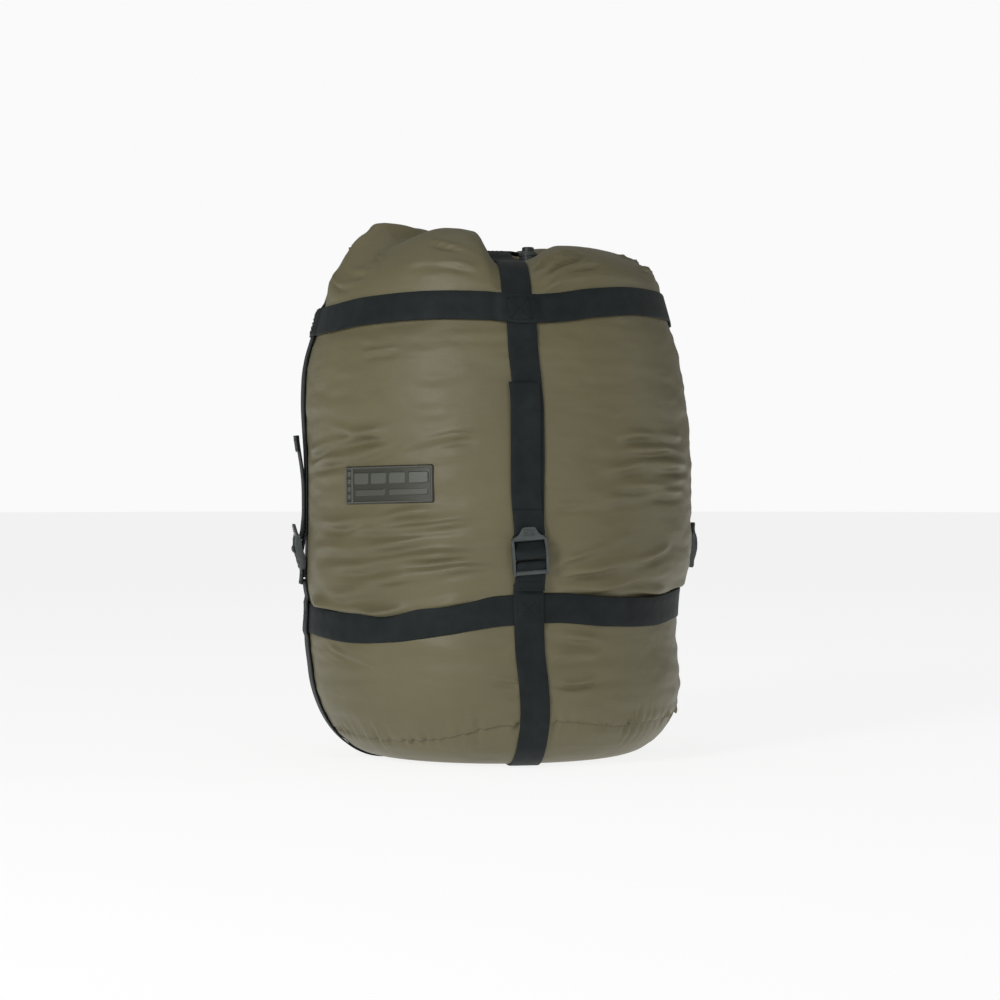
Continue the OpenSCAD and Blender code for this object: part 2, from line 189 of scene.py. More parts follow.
def travel_along(points):
    """The distance travelled at each point of a path."""
    return np.concatenate([[0], np.cumsum(np.linalg.norm(np.diff(points, axis=0), axis=1))])


# How far the sack leans to the right, and turns, at each height
LEAN = [(0, 0.5), (40, -1), (75, -4), (105, -7), (130, -6), (172, -1.8), (205, -1), (250, -1), (290, -3),
        (320, -5), (363, -7), (470, -7)]
TWIST = [(0, 6.5), (60, 9), (100, 9), (130, 6.8), (170, 2), (205, 1), (250, 1.3), (290, 3.5), (320, 5.5),
         (345, 4), (368, 3), (384, 0.5), (396, -0.5), (470, -0.5)]


def settle(points):
    """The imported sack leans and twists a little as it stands: moves points given for a straight one."""
    points = np.array(points, float)
    x, y = rotated(points[..., 0], points[..., 1], curve(TWIST, points[..., 2]) / WALL_R)
    return np.stack([x + curve(LEAN, points[..., 2]), y, points[..., 2]], -1)


def grid_faces(count, columns, start=0, closed=False):
    """Faces between rows of points that each run round; closed joins the last row to the first."""
    return [(start + i * columns + j, start + i * columns + (j + 1) % columns,
             start + (i + 1) % count * columns + (j + 1) % columns, start + (i + 1) % count * columns + j)
            for i in range(count if closed else count - 1) for j in range(columns)]


def cap_faces(count, columns, start=0):
    """One face over the first row and one over the last."""
    last = start + (count - 1) * columns
    return [tuple(range(start + columns - 1, start - 1, -1)), tuple(range(last, last + columns))]


def smooth_faces(mesh):
    mesh.polygons.foreach_set("use_smooth", [True] * len(mesh.polygons))


def new_object(name, points_mm, faces, material, body, leaning=True, closed=True):
    points = settle(points_mm) if leaning else np.array(points_mm, float)
    mesh = bpy.data.meshes.new(name)
    mesh.from_pydata((points * MM).tolist(), [], [list(f) for f in faces])
    mesh.update()
    obj = bpy.data.objects.new(name, mesh)
    bpy.context.collection.objects.link(obj)
    mesh.materials.append(material)
    if closed:
        shape = bmesh.new()
        shape.from_mesh(mesh)
        bmesh.ops.recalc_face_normals(shape, faces=shape.faces)
        shape.to_mesh(mesh)
        shape.free()
    smooth_faces(mesh)
    if body:
        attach(obj, body)
    return obj


def set_attribute(obj, name, values):
    layer = obj.data.attributes.new(name, "FLOAT_VECTOR", "POINT")
    layer.data.foreach_set("vector", np.asarray(values, np.float32).ravel())


def read_vectors(items, name):
    values = np.empty(len(items) * 3)
    items.foreach_get(name, values)
    return values.reshape(-1, 3)


def apply_modifiers(obj):
    graph = bpy.context.evaluated_depsgraph_get()
    mesh = bpy.data.meshes.new_from_object(obj.evaluated_get(graph))
    obj.modifiers.clear()
    obj.data = mesh


def thicken(obj, thickness):
    solid = obj.modifiers.new("thick", "SOLIDIFY")
    solid.thickness = thickness * MM
    solid.offset = -1
    apply_modifiers(obj)


def stands_for(obj, slot, *nodes):
    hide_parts(*nodes)


# ---- materials ----

class Nodes:
    """A short way to build one material's nodes."""

    def __init__(self, name, color, roughness):
        self.material = bpy.data.materials.new(name)
        self.material.use_nodes = True
        self.tree = self.material.node_tree
        self.shader = self.tree.nodes["Principled BSDF"]
        self.shader.inputs["Base Color"].default_value = (*color, 1)
        self.shader.inputs["Roughness"].default_value = roughness

    def add(self, kind, **settings):
        node = self.tree.nodes.new("ShaderNode" + kind)
        for key, value in settings.items():
            if key in node.inputs:
                node.inputs[key].default_value = value
            else:
                setattr(node, key.lower(), value)
        return node

    def link(self, a, b):
        self.tree.links.new(a, b)

    def coordinates(self, scale=(1, 1, 1), attribute=None):
        source = self.add("Attribute", attribute_name=attribute) if attribute else self.add("TexCoord")
        mapping = self.add("Mapping")
        mapping.inputs["Scale"].default_value = scale
        self.link(source.outputs["Vector" if attribute else "Object"], mapping.inputs["Vector"])
        return mapping.outputs["Vector"]

    def noise(self, vector, scale, detail=3.0, rough=0.55):
        node = self.add("TexNoise", Scale=scale, Detail=detail, Roughness=rough)
        self.link(vector, node.inputs["Vector"])
        return node.outputs["Fac"]

    def bands(self, vector, direction, scale, distortion, **more):
        node = self.add("TexWave", wave_type="BANDS", bands_direction=direction, Scale=scale,
                        Distortion=distortion, **more)
        self.link(vector, node.inputs["Vector"])
        return node.outputs["Fac"]

    def product(self, a, b):
        node = self.add("Math", operation="MULTIPLY")
        self.link(a, node.inputs[0])
        self.link(b, node.inputs[1])
        return node.outputs[0]

    def shade(self, **inputs):
        """Sets inputs of the shader, named with underscores for spaces."""
        for name, value in inputs.items():
            self.shader.inputs[name.replace("_", " ")].default_value = value

    def colour_between(self, factor, low, high, start=0.3, end=0.7):
        node = self.add("ValToRGB")
        node.color_ramp.elements[0].position = start
        node.color_ramp.elements[1].position = end
        node.color_ramp.elements[0].color = (*low, 1)
        node.color_ramp.elements[1].color = (*high, 1)
        self.link(factor, node.inputs["Fac"])
        self.link(node.outputs["Color"], self.shader.inputs["Base Color"])

    def rough_between(self, factor, low, high):
        node = self.add("MapRange")
        node.inputs["To Min"].default_value = low
        node.inputs["To Max"].default_value = high
        self.link(factor, node.inputs["Value"])
        self.link(node.outputs[0], self.shader.inputs["Roughness"])

    def bumps(self, layers):
        """Each layer is (height socket, strength, distance in metres)."""
        last = None
        for height, strength, distance in layers:
            node = self.add("Bump")
            node.inputs["Strength"].default_value = strength
            node.inputs["Distance"].default_value = distance
            self.link(height, node.inputs["Height"])
            if last:
                self.link(last, node.inputs["Normal"])
            last = node.outputs["Normal"]
        self.link(last, self.shader.inputs["Normal"])


def sack_fabric():
    m = Nodes("sack_fabric", (0.124, 0.108, 0.063), 0.43)
    m.shade(Sheen_Weight=0.04, Sheen_Roughness=0.4, Specular_IOR_Level=0.34)
    plain, weave = m.coordinates(), m.coordinates(attribute="cloth")
    m.colour_between(m.noise(plain, 9, 4), (0.113, 0.100, 0.053), (0.137, 0.121, 0.064))
    m.rough_between(m.noise(plain, 30, 3), 0.43, 0.55)
    threads = m.product(m.bands(weave, "X", 0.55, 0.6), m.bands(weave, "Y", 0.55, 0.6))
    crumple = m.noise(m.coordinates((1, 1, 2.6)), 75, 5, 0.6)
    m.bumps([(crumple, 0.35, 0.0008), (threads, 0.16, 0.00012)])
    return m.material


def webbing():
    m = Nodes("webbing", (0.010, 0.0135, 0.0135), 0.62)
    m.shade(Sheen_Weight=0.04, Sheen_Roughness=0.5, Specular_IOR_Level=0.14)
    plain, weave = m.coordinates(), m.coordinates(attribute="cloth")
    m.colour_between(m.noise(plain, 60, 4), (0.0075, 0.0105, 0.0105), (0.0125, 0.017, 0.017))
    threads = m.product(m.bands(weave, "X", 0.26, 1.2, Detail=1), m.bands(weave, "Y", 0.2, 0.8))
    m.bumps([(threads, 0.5, 0.0004), (m.noise(plain, 900, 3), 0.25, 0.0002)])
    return m.material


def moulded(name, color, roughness):
    m = Nodes(name, color, roughness)
    plain = m.coordinates()
    darker = tuple(c * 0.8 for c in color)
    lighter = tuple(c * 1.25 for c in color)
    m.colour_between(m.noise(plain, 120, 4), darker, lighter)
    m.rough_between(m.noise(plain, 260, 3), roughness - 0.07, roughness + 0.08)
    m.bumps([(m.noise(plain, 1500, 4), 0.12, 0.0001)])
    return m.material


def moulded_patch():
    """Dark rubber whose raised parts are painted paler, a painted highlight, and whose field between them is
    darker, painted shade.
    """
    m = Nodes("patch_rubber", (0.05, 0.05, 0.04), 0.42)
    # Painted shade for the field and painted highlight for the raised parts, ramped by the ridge mask
    low, high = (0.027, 0.027, 0.018), (0.068, 0.073, 0.058)
    m.colour_between(m.coordinates(attribute="relief"), low, high, 0.1, 0.9)
    m.rough_between(m.noise(m.coordinates(), 260, 3), 0.38, 0.5)
    m.bumps([(m.noise(m.coordinates(), 1500, 4), 0.12, 0.0001)])
    return m.material


def plain_thread(name, color):
    m = Nodes(name, color, 0.6)
    m.shade(Specular_IOR_Level=0.15)
    darker = tuple(c * 0.7 for c in color)
    lighter = tuple(c * 1.3 for c in color)
    m.colour_between(m.noise(m.coordinates(), 400, 2), darker, lighter)
    return m.material


def braided_cord():
    m = Nodes("cord", (0.02, 0.02, 0.026), 0.55)
    ribs = m.bands(m.coordinates(attribute="cloth"), "DIAGONAL", 0.5, 0.3)
    # Darker where the ribs' bump is low: painted shade in the braid's grooves, paler on the rib tops
    m.colour_between(ribs, (0.014, 0.014, 0.018), (0.032, 0.032, 0.042))
    m.bumps([(ribs, 0.6, 0.0003)])
    return m.material


FABRIC = sack_fabric()
WEBBING = webbing()
THREAD = plain_thread("thread", (0.009, 0.0125, 0.0125))
CORD = braided_cord()
BUCKLE = moulded("buckle_plastic", (0.042, 0.052, 0.050), 0.36)
BUTTON = moulded("button_plastic", (0.014, 0.016, 0.017), 0.5)
PATCH = moulded_patch()
SPRING = moulded("spring_steel", (0.55, 0.55, 0.55), 0.3)
QUILT = moulded("packed_bag", (0.05, 0.055, 0.045), 0.7)


# ---- the sack's skin before it is inflated ----

# How far each hoop's middle rises or falls round the sack
LOW_WAVE = [(353, 4), (8, 6), (25, 2), (45, 0), (66, 4), (90, 5), (120, 0), (150, -3), (180, 2), (215, -4),
            (245, -2), (262, -6), (284, -10), (303, -13), (318, -11), (335, -4)]
HIGH_WAVE = [(0, -3), (12, -1), (26, 4), (44, 7), (68, 6), (90, 2), (125, 4), (155, 1), (180, -2), (215, 3),
             (240, -2), (265, -8), (290, -6), (308, -2), (335, 1), (350, 0)]
# The same for the seam round the base
SEAM_WAVE = [(350, 8), (8, 11), (30, 5), (52, 6), (70, 8), (110, 2), (150, 6), (190, -2), (240, 3), (280, -4),
             (310, -8), (330, -4)]
# Round the gathered top: the crest's height between the straps, its distance from the axis, how square the
# shoulder below it is, and how far from a strap's middle the hollow beside it reaches
CREST = [(14, 439.5), (35, 440), (60, 441), (78, 440), (102, 442), (135, 448), (165, 445), (192, 450),
         (215, 462), (240, 466), (258, 462), (270, 460), (281, 455), (290, 448), (297, 443.5), (306, 447),
         (324, 455), (343, 451), (352, 444)]
CREST_R = [(0, 84), (31, 94), (60, 84), (90, 80), (135, 80), (180, 84), (225, 92), (262, 98), (290, 96),
           (320, 84)]
SHOULDER = [(0, 2.0), (60, 2.0), (130, 2.0), (180, 1.9), (225, 1.6), (262, 1.35), (295, 1.45), (330, 1.9)]
HOLLOWS = [(0, 36), (8, 45), (30, 45), (60, 34), (90, 32), (180, 32), (270, 27), (330, 25), (352, 25)]
# The fabric under each strap over the top: distance from the axis, height
CROWNS = {
    "front": [(149.2, 397), (141, 409), (128, 418.5), (112, 423), (92, 424), (55, 428), (26, 437), (0, 437)],
    "back": [(149.2, 397), (142, 412), (130, 426), (112, 436), (88, 439), (48, 438), (18, 437), (0, 437)],
    "right": [(149.2, 397), (141, 411), (128, 424), (110, 432.5), (85, 436), (45, 437.5), (18, 437),
              (0, 437)],
    "left": [(149.2, 394), (136, 410), (125, 426), (115, 444), (106, 458), (84, 456), (45, 444), (18, 437),
             (0, 437)],
}

# The wall's radius at each height, and how much more it has midway between two straps
WALL_OUTLINE = [(CORNER_Z, LOW_R), (118, LOW_R), (LOW_HOOP_Z, LOW_R - 0.5), (141, LOW_R), (156, WALL_R - 1.8),
                (172, WALL_R), (295, WALL_R), (325, WALL_R - 2), (350, 162), (371, 156.4),
                (HOOP_TOP + 0.5, FOOT_R)]
LOBES = [(CORNER_Z, 0), (105, 0.5), (118, 0), (141, 0), (170, 4), (240, 4), (300, 2.5), (345, 2), (371, 0),
         (400, 0)]
# How far the fabric under each strap is pulled in beside the buckle
STRAP_SINK = {"front": 0.0, "right": 4.5, "back": 1.5, "left": 0.0}


def strap_sink(degrees, z):
    depth = around([(SIDE_ANGLES[side], STRAP_SINK[side]) for side in SIDES], degrees)
    near = 1 - smoothstep(strap_distance(degrees, WALL_R), 13, 42)
    return depth * near * smoothstep(z, 146, 164) * (1 - smoothstep(z, 300, 350))


def wall_radius(degrees, z):
    lobes = curve(LOBES, z)
    away = smoothstep(strap_distance(degrees, WALL_R), 14, 75)
    return curve(WALL_OUTLINE, z) + lobes * away - strap_sink(degrees, z)


def hoop_shift(degrees, z):
    low = around(LOW_WAVE, degrees) * smoothstep(np.abs(z - LOW_HOOP_Z), 62, 8)
    high = around(HIGH_WAVE, degrees) * smoothstep(np.abs(z - HIGH_HOOP_Z), 62, 8)
    return low + high


def wall_point(degrees, z):
    """A point of the wall, from its height before the hoops pull it up and down."""
    degrees, z = np.broadcast_arrays(np.asarray(degrees, float), np.asarray(z, float))
    r = wall_radius(degrees, z)
    return ring_point(np.radians(degrees), r, z + hoop_shift(degrees, z))


def corner_point(degrees, t):
    """A point of the rounded bottom edge: t is 0 at the flat base and 90 at the wall."""
    degrees, t = np.broadcast_arrays(np.asarray(degrees, float), np.asarray(t, float))
    r = BASE_R + (LOW_R - BASE_R) * np.sin(np.radians(t))
    height = CORNER_Z - (CORNER_Z - FLOOR_Z) * np.cos(np.radians(t))
    return ring_point(np.radians(degrees), r, height)


def seam_angle(degrees):
    z = SEAM_Z + around(SEAM_WAVE, degrees)
    return np.degrees(np.arccos((CORNER_Z - z) / (CORNER_Z - FLOOR_Z)))


def crown_height(degrees, radius):
    """The fabric's height under the nearest strap, over the top."""
    nearest = np.round(np.asarray(degrees, float) / 90).astype(int) % 4
    height = np.zeros_like(radius)
    for i, side in enumerate(SIDES):
        path = sorted(CROWNS[side])
        height = np.where(nearest == i, curve(path, radius), height)
    return height


def lock_hollow(a, r, z):
    """Sinks the cloth under the cord lock and its cord, between the lobes."""
    turn = math.radians(LOCK_ANGLE)
    along, beside = r * np.cos(a - turn), r * np.sin(a - turn)
    narrow = 1 - smoothstep(np.abs(beside), 11.5, 17)
    pocket = narrow * smoothstep(along, 26, 31) * (1 - smoothstep(along, 73, 84))
    deeper = 7 * (1 - smoothstep(np.hypot(along - LOCK_REACH, beside), 9.5, 14))
    return z + (np.minimum(z, POCKET_Z - deeper) - z) * pocket


def top_point(degrees, t):
    """A point of the gathered top: t is 0 at the upper hoop, 1 at the crest and 2 at the mouth."""
    degrees, t = np.broadcast_arrays(np.asarray(degrees, float), np.asarray(t, float))
    a = np.radians(degrees)
    crest, crest_r = around(CREST, degrees), around(CREST_R, degrees)
    power = 2 / around(SHOULDER, degrees)
    outer = np.clip(t, 0, 1) * np.pi / 2
    inner = np.clip(t - 1, 0, 1) * np.pi / 2
    r = np.where(t <= 1, crest_r + (FOOT_R - crest_r) * np.maximum(np.cos(outer), 0) ** power,
                 crest_r - (crest_r - MOUTH_R) * np.sin(inner))
    z = np.where(t <= 1, HOOP_TOP + 0.5 + (crest - HOOP_TOP - 0.5) * np.sin(outer) ** power,
                 MOUTH_Z + (crest - MOUTH_Z) * np.cos(inner))
    left_lobe = np.exp(-((degrees % 360 - 284) / 10) ** 2)
    r = r + 6.5 * left_lobe * smoothstep(t, 0.03, 0.3) * (1 - smoothstep(t, 0.65, 1.0))
    pleats = np.cos(a * 26 + 2.2 * np.sin(a * 3 + 1)) + 0.6 * np.cos(a * 17 + 0.7)
    z = z + pleats * 1.5 * smoothstep(t, 0.9, 2.0)
    wide = around(HOLLOWS, degrees)
    valley = 1 - smoothstep((strap_distance(degrees, r) - WEB_REACH) / (wide - WEB_REACH), 0, 1)
    z = z + (crown_height(degrees, r) - z) * valley * smoothstep(t, 0.0, 0.12)
    z = z + hoop_shift(degrees, np.full_like(z, HOOP_TOP)) * (1 - smoothstep(t, 0, 0.7))
    beside_left = np.exp(-((degrees % 360 - 281.5) / 5.5) ** 2)
    z = z + 7.0 * beside_left * smoothstep(t, 0.45, 0.7) * (1 - smoothstep(t, 1.3, 1.7))
    return ring_point(a, r, lock_hollow(a, r, z))


PATCH_ANGLE, PATCH_Z, PATCH_W, PATCH_H = 360 - 41.4, 237.0, 88.0, 32.0
PATCH_TILT = math.radians(1.4)


def on_patch(degrees, z, margin=0.0):
    across = arc(np.asarray(degrees) - PATCH_ANGLE)
    return (np.abs(across) < PATCH_W / 2 + margin) & (np.abs(np.asarray(z) - PATCH_Z) < PATCH_H / 2 + margin)


def skin_rows():
    """Rows of the skin from the base seam to the mouth: (part, parameter)."""
    rows = [("corner", s) for s in np.linspace(0, 1, 15)[:-1]]
    rows += [("wall", z) for z in np.linspace(CORNER_Z, LOW_HOOP_Z, 14)[:-1]]
    rows += [("wall", z) for z in np.linspace(LOW_HOOP_Z, HIGH_HOOP_Z, 66)[:-1]]
    rows += [("wall", z) for z in np.linspace(HIGH_HOOP_Z, HOOP_TOP + 0.5, 4)[:-1]]
    rows += [("top", t) for t in np.linspace(0, 1, 20)[:-1]]
    rows += [("top", t) for t in np.linspace(1, 2, 12)]
    return rows


HELD_BESIDE = 10.5        # the cloth is held this far each side of a hoop's middle
HELD_UNDER = 11.5         # and this far each side of a strap's
TUCK = 1.2                # drawn in under the upper hoop


def skin_grid():
    """The skin's rows of points, and where the hoops, straps and patch hold it."""
    degrees = np.arange(COLUMNS) * 360 / COLUMNS
    rows = skin_rows()
    grid = np.zeros((len(rows), COLUMNS, 3))
    held = np.zeros((len(rows), COLUMNS))
    for i, (part, s) in enumerate(rows):
        if part == "corner":
            start = seam_angle(degrees)
            grid[i] = corner_point(degrees, start + (90 - start) * s)
            hoop = s < 0.01
        elif part == "wall":
            grid[i] = wall_point(degrees, s)
            above = 1 - float(smoothstep(s, HIGH_HOOP_Z + 4, HOOP_TOP))
            grid[i][:, :2] *= 1 - TUCK * float(smoothstep(s, 360, 368)) * above / WALL_R
            hoop = min(abs(s - LOW_HOOP_Z), abs(s - HIGH_HOOP_Z)) < HELD_BESIDE
        else:
            grid[i] = top_point(degrees, s)
            hoop = s > 1.95
        radius = np.hypot(grid[i][:, 0], grid[i][:, 1])
        held[i] = np.where(strap_distance(degrees, radius) < HELD_UNDER, 1, 0)
        if hoop:
            held[i] = 1
        if part == "wall":
            held[i] = np.where(on_patch(degrees, s), 1, held[i])
    return rows, grid, held


def ripples(grid, held):
    """Small starting ripples, mostly level, that the simulation turns into folds."""
    out = grid.copy()
    for i in range(grid.shape[0]):
        for j in range(grid.shape[1]):
            if held[i, j]:
                continue
            x, y, z = grid[i, j]
            amount = noise.noise((x / 38, y / 38, z / 11)) + 0.5 * noise.noise((x / 17 + 9, y / 17, z / 7))
            radius = math.hypot(x, y)
            out[i, j, 0] += amount * 1.4 * x / radius
            out[i, j, 1] += amount * 1.4 * y / radius
    return out


CLOTH = {"quality": 5, "mass": 0.005, "tension_stiffness": 15, "compression_stiffness": 15,
         "shear_stiffness": 7, "bending_stiffness": 0.05, "tension_damping": 1, "compression_damping": 1,
         "shear_damping": 1, "use_pressure": True, "uniform_pressure_force": 20, "vertex_group_mass": "pin",
         "vertex_group_shrink": "spare", "shrink_min": 0.0, "shrink_max": -0.075}
SPARE_CLOTH = [(CORNER_Z, 0.3), (130, 0.4), (150, 0.9), (280, 0.8), (320, 0.3), (400, 0.2)]
CLOTH_FRAMES = 25
BULGE_LIMIT = 9.0         # millimetres


def inflate(grid, held, rows):
    """Blows the held skin up with spare cloth, so that it bulges and folds like a packed sack."""
    mesh = bpy.data.meshes.new("skin")
    mesh.from_pydata((grid.reshape(-1, 3) * MM).tolist(), [], grid_faces(grid.shape[0], COLUMNS))
    obj = bpy.data.objects.new("skin", mesh)
    bpy.context.collection.objects.link(obj)
    pin = obj.vertex_groups.new(name="pin")
    pin.add([int(k) for k in np.flatnonzero(held.ravel())], 1.0, "REPLACE")
    spare = obj.vertex_groups.new(name="spare")
    for i, (part, s) in enumerate(rows):
        share = {"corner": 0.45, "top": 0.35}.get(part)
        if part == "wall":
            share = float(curve(SPARE_CLOTH, s))
        spare.add(list(range(i * COLUMNS, (i + 1) * COLUMNS)), share, "REPLACE")
    cloth = obj.modifiers.new("cloth", "CLOTH")
    for key, value in CLOTH.items():
        setattr(cloth.settings, key, value)
    cloth.settings.effector_weights.gravity = 0
    cloth.collision_settings.use_collision = False
    cloth.point_cache.frame_start = 1
    cloth.point_cache.frame_end = 40
    scene = bpy.context.scene
    for frame_number in range(1, CLOTH_FRAMES + 1):
        scene.frame_set(frame_number)
    result = obj.evaluated_get(bpy.context.evaluated_depsgraph_get()).to_mesh()
    step = read_vectors(result.vertices, "co").reshape(grid.shape) / MM - grid
    length = np.linalg.norm(step, axis=-1, keepdims=True)
    step *= np.minimum(1, BULGE_LIMIT / np.maximum(length, 1e-9))
    scene.frame_set(1)
    bpy.data.objects.remove(obj)
    return grid + step


rows, start_grid, held = skin_grid()
skin = ripples(start_grid, held)
skin = inflate(skin, held, rows)


def row_index(part, value):
    return min(range(len(rows)), key=lambda i: abs(rows[i][1] - value) + (0 if rows[i][0] == part else 1e6))


LOW_ROW = row_index("wall", LOW_HOOP_Z)
HIGH_ROW = row_index("wall", HIGH_HOOP_Z)
TOP_ROW = row_index("top", 0)


def cloth_coordinates(grid):
    """Distance round and up the cloth, in centimetres, for its weave."""
    out = np.zeros_like(grid)
    columns = grid.shape[1]
    out[..., 0] = arc(np.arange(columns)[None, :] * 360 / columns) / 10
    steps = np.linalg.norm(np.diff(grid, axis=0), axis=-1).mean(axis=1)
    out[..., 1] = np.concatenate([[0], np.cumsum(steps)])[:, None] / 10
    return out


coords = cloth_coordinates(start_grid)
ROW_HEIGHTS = np.array([s if part == "wall" else CORNER_Z - (1 - s) * (CORNER_Z - SEAM_Z)
                        for part, s in rows[:TOP_ROW]])
ROW_LENGTHS = coords[:TOP_ROW, 0, 1] * 10
TOP_LENGTH = coords[TOP_ROW, 0, 1] * 10

# Shallow folds, each a ridge with a groove under it: half width, height, points of (degrees, height)
WALL_FOLDS = [
    (6.0, 4.0, [(-94, 141), (-75, 135), (-55, 132), (-38, 134), (-24, 139), (-8, 146)]),
    (6.0, 2.4, [(10, 153), (30, 149), (60, 150), (80, 154)]),
    (5.0, 2.0, [(-83, 264), (-59, 273), (-43, 279), (-35, 275)]),
    (5.0, 2.2, [(-86, 250), (-70, 255), (-56, 260), (-38, 270)]),
    (4.0, 1.0, [(-65, 287), (-51, 281), (-38, 283)]),
    (4.0, 1.1, [(-38, 266), (-27, 273), (-13, 278)]),
    (5.5, 1.6, [(-83, 203), (-47, 208), (-25, 215), (-7, 220)]),
    (4.0, 1.1, [(-60, 194), (-35, 202), (-7, 209)]),
    (5.0, 1.6, [(-78, 180), (-52, 184), (-32, 190), (-7, 196)]),
    (4.5, 1.9, [(-70, 170), (-48, 169), (-34, 177), (-7, 183)]),
    (4.5, 1.5, [(-50, 157), (-25, 165), (-7, 170)]),
    (5.0, 1.3, [(-78, 142), (-52, 148), (-35, 156)]),
    (4.5, 2.0, [(25, 274), (38, 279), (58, 278)]),
    (4.0, 1.7, [(22, 264), (36, 267), (60, 262)]),
    (5.0, 2.1, [(21, 249), (36, 252), (64, 255)]),
    (4.5, 1.5, [(25, 235), (39, 237), (60, 241)]),
    (4.5, 1.6, [(20, 225), (30, 227), (62, 231)]),
    (3.5, 0.9, [(6, 220), (14, 222), (25, 219)]),
    (5.5, 2.0, [(6, 159), (22, 168), (53, 187)]),
    (4.5, 1.6, [(6, 150), (23, 154), (52, 163)]),
    (4.5, 1.0, [(6, 173), (18, 181), (33, 195)]),
    (3.5, 0.9, [(-52, 358), (-41, 355)]),
    (3.5, 0.9, [(-50, 346), (-38, 348)]),
    (3.5, 1.2, [(5, 114), (14, 110), (24, 107)]),
    (3.5, 1.3, [(6, 93), (14, 96), (22, 98)]),
    (3.5, 1.2, [(6, 76), (14, 73), (21, 75)]),
    (3.0, 0.9, [(-15, 109), (-5, 111)]),
    (3.5, 0.9, [(-70, 100), (-56, 92), (-47, 82)]),
    (3.0, 0.9, [(-12, 76), (-3, 75)]),
    (5.0, 1.8, [(98, 262), (120, 268), (140, 264)]),
    (5.0, 1.8, [(95, 205), (125, 212), (168, 208)]),
    (5.0, 1.6, [(102, 168), (135, 160), (170, 172)]),
    (4.5, 1.5, [(110, 240), (135, 236), (160, 244)]),
    (5.0, 1.9, [(190, 250), (215, 258), (240, 252)]),
    (5.0, 1.7, [(188, 196), (220, 203), (262, 199)]),
    (4.5, 1.6, [(195, 160), (225, 168), (255, 158)]),
    (4.5, 1.4, [(200, 282), (230, 288), (258, 280)]),
    (4.0, 1.2, [(98, 96), (125, 104), (150, 92)]),
    (4.0, 1.2, [(200, 92), (230, 100), (258, 96)]),
]
# The same on the gathered top: points of (degrees, distance above the upper hoop)
TOP_FOLDS = [
    (3.5, 1.8, [(7, 38), (14, 46), (26, 56)]),
    (3.5, 2.0, [(8, 26), (16, 33), (30, 44)]),
    (3.5, 1.8, [(8, 14), (18, 20), (34, 27)]),
    (3.0, 1.0, [(9, 5), (20, 9), (30, 12)]),
    (3.5, 1.3, [(-12, 30), (-22, 40), (-34, 46)]),
    (3.5, 1.1, [(-12, 14), (-24, 20), (-38, 22)]),
    (3.5, 1.5, [(-76, 40), (-66, 30), (-56, 26)]),
    (3.0, 1.5, [(-78, 27), (-68, 19), (-60, 16)]),
    (3.0, 1.3, [(-62, 48), (-54, 38), (-48, 26)]),
    (3.5, 1.5, [(78, 36), (66, 44), (52, 50)]),
    (3.5, 1.3, [(80, 16), (68, 20), (54, 22)]),
    (3.5, 1.8, [(98, 34), (112, 44), (126, 50)]),
    (3.5, 1.6, [(100, 16), (116, 22), (134, 24)]),
    (3.5, 1.8, [(172, 32), (158, 42), (146, 50)]),
    (3.5, 1.8, [(188, 34), (202, 46), (216, 52)]),
    (3.5, 1.6, [(190, 16), (206, 24), (222, 26)]),
    (3.5, 1.8, [(262, 40), (250, 50), (238, 54)]),
]


def length_at(degrees, z):
    """How far up the cloth a true height is, undoing the pull of the hoops."""
    row = z
    for _ in range(6):
        row = z - float(hoop_shift(degrees, row))
    return float(np.interp(row, ROW_HEIGHTS, ROW_LENGTHS))


def fold_heights(across, along):
    """How far the folds push the cloth out, at distances across and along it in millimetres."""
    total = np.zeros_like(across)
    folds = [(w, h, [(a, length_at(a, z)) for a, z in path]) for w, h, path in WALL_FOLDS]
    folds += [(w, h, [(a, TOP_LENGTH + up) for a, up in path]) for w, h, path in TOP_FOLDS]
    for number, (width, height, path) in enumerate(folds):
        width = 0.8 * width
        path = sorted(path)
        turn = 360 if path[0][0] < 0 else 0
        start, end = arc(path[0][0] + turn), arc(path[-1][0] + turn)
        line = curve([(arc(a + turn), v) for a, v in path], across)
        wander = 1.3 * np.sin(across / 19 + 2.4 * number)
        off = along - line - wander - 0.4 * np.sin(across / 8.3 + 5.1 * number)
        fade = 0.3 * (end - start)
        share = smoothstep(across, start - 4, start + fade) * (1 - smoothstep(across, end - fade, end + 4))
        ridge = np.exp(-(off / width) ** 2) - 0.8 * np.exp(-((off + 1.5 * width) / width) ** 2)
        total += 2.0 * height * share * ridge * (0.85 + 0.5 * np.sin(across / 12 + 3.7 * number))
    return total


def fine_creases(points):
    out = np.zeros(len(points))
    for i, (x, y, z) in enumerate(points):
        broad = noise.noise((x / 26, y / 26, z / 6.5))
        small = noise.noise((x / 9, y / 9, z / 3.6 + 7))
        out[i] = 0.42 * broad + 0.18 * small
    return out


def seam_gathers(across, along):
    """The puckers of cloth drawn into the base seam."""
    slant = 0.22 * along * np.sin(across / 41)
    pull = np.sin((across + slant) / 2.3 + 2.6 * np.sin(across / 19))
    pull = pull + 0.6 * np.sin((across - slant) / 1.4 + 1.7)
    uneven = 0.25 + 1.9 * np.clip(np.sin(across / 33 + 0.6) * np.sin(across / 11 + 1), 0, 1)
    reach = 9 + 6 * np.sin(across / 17)
    return 1.5 * pull * uneven * np.exp(-(along / reach) ** 2)


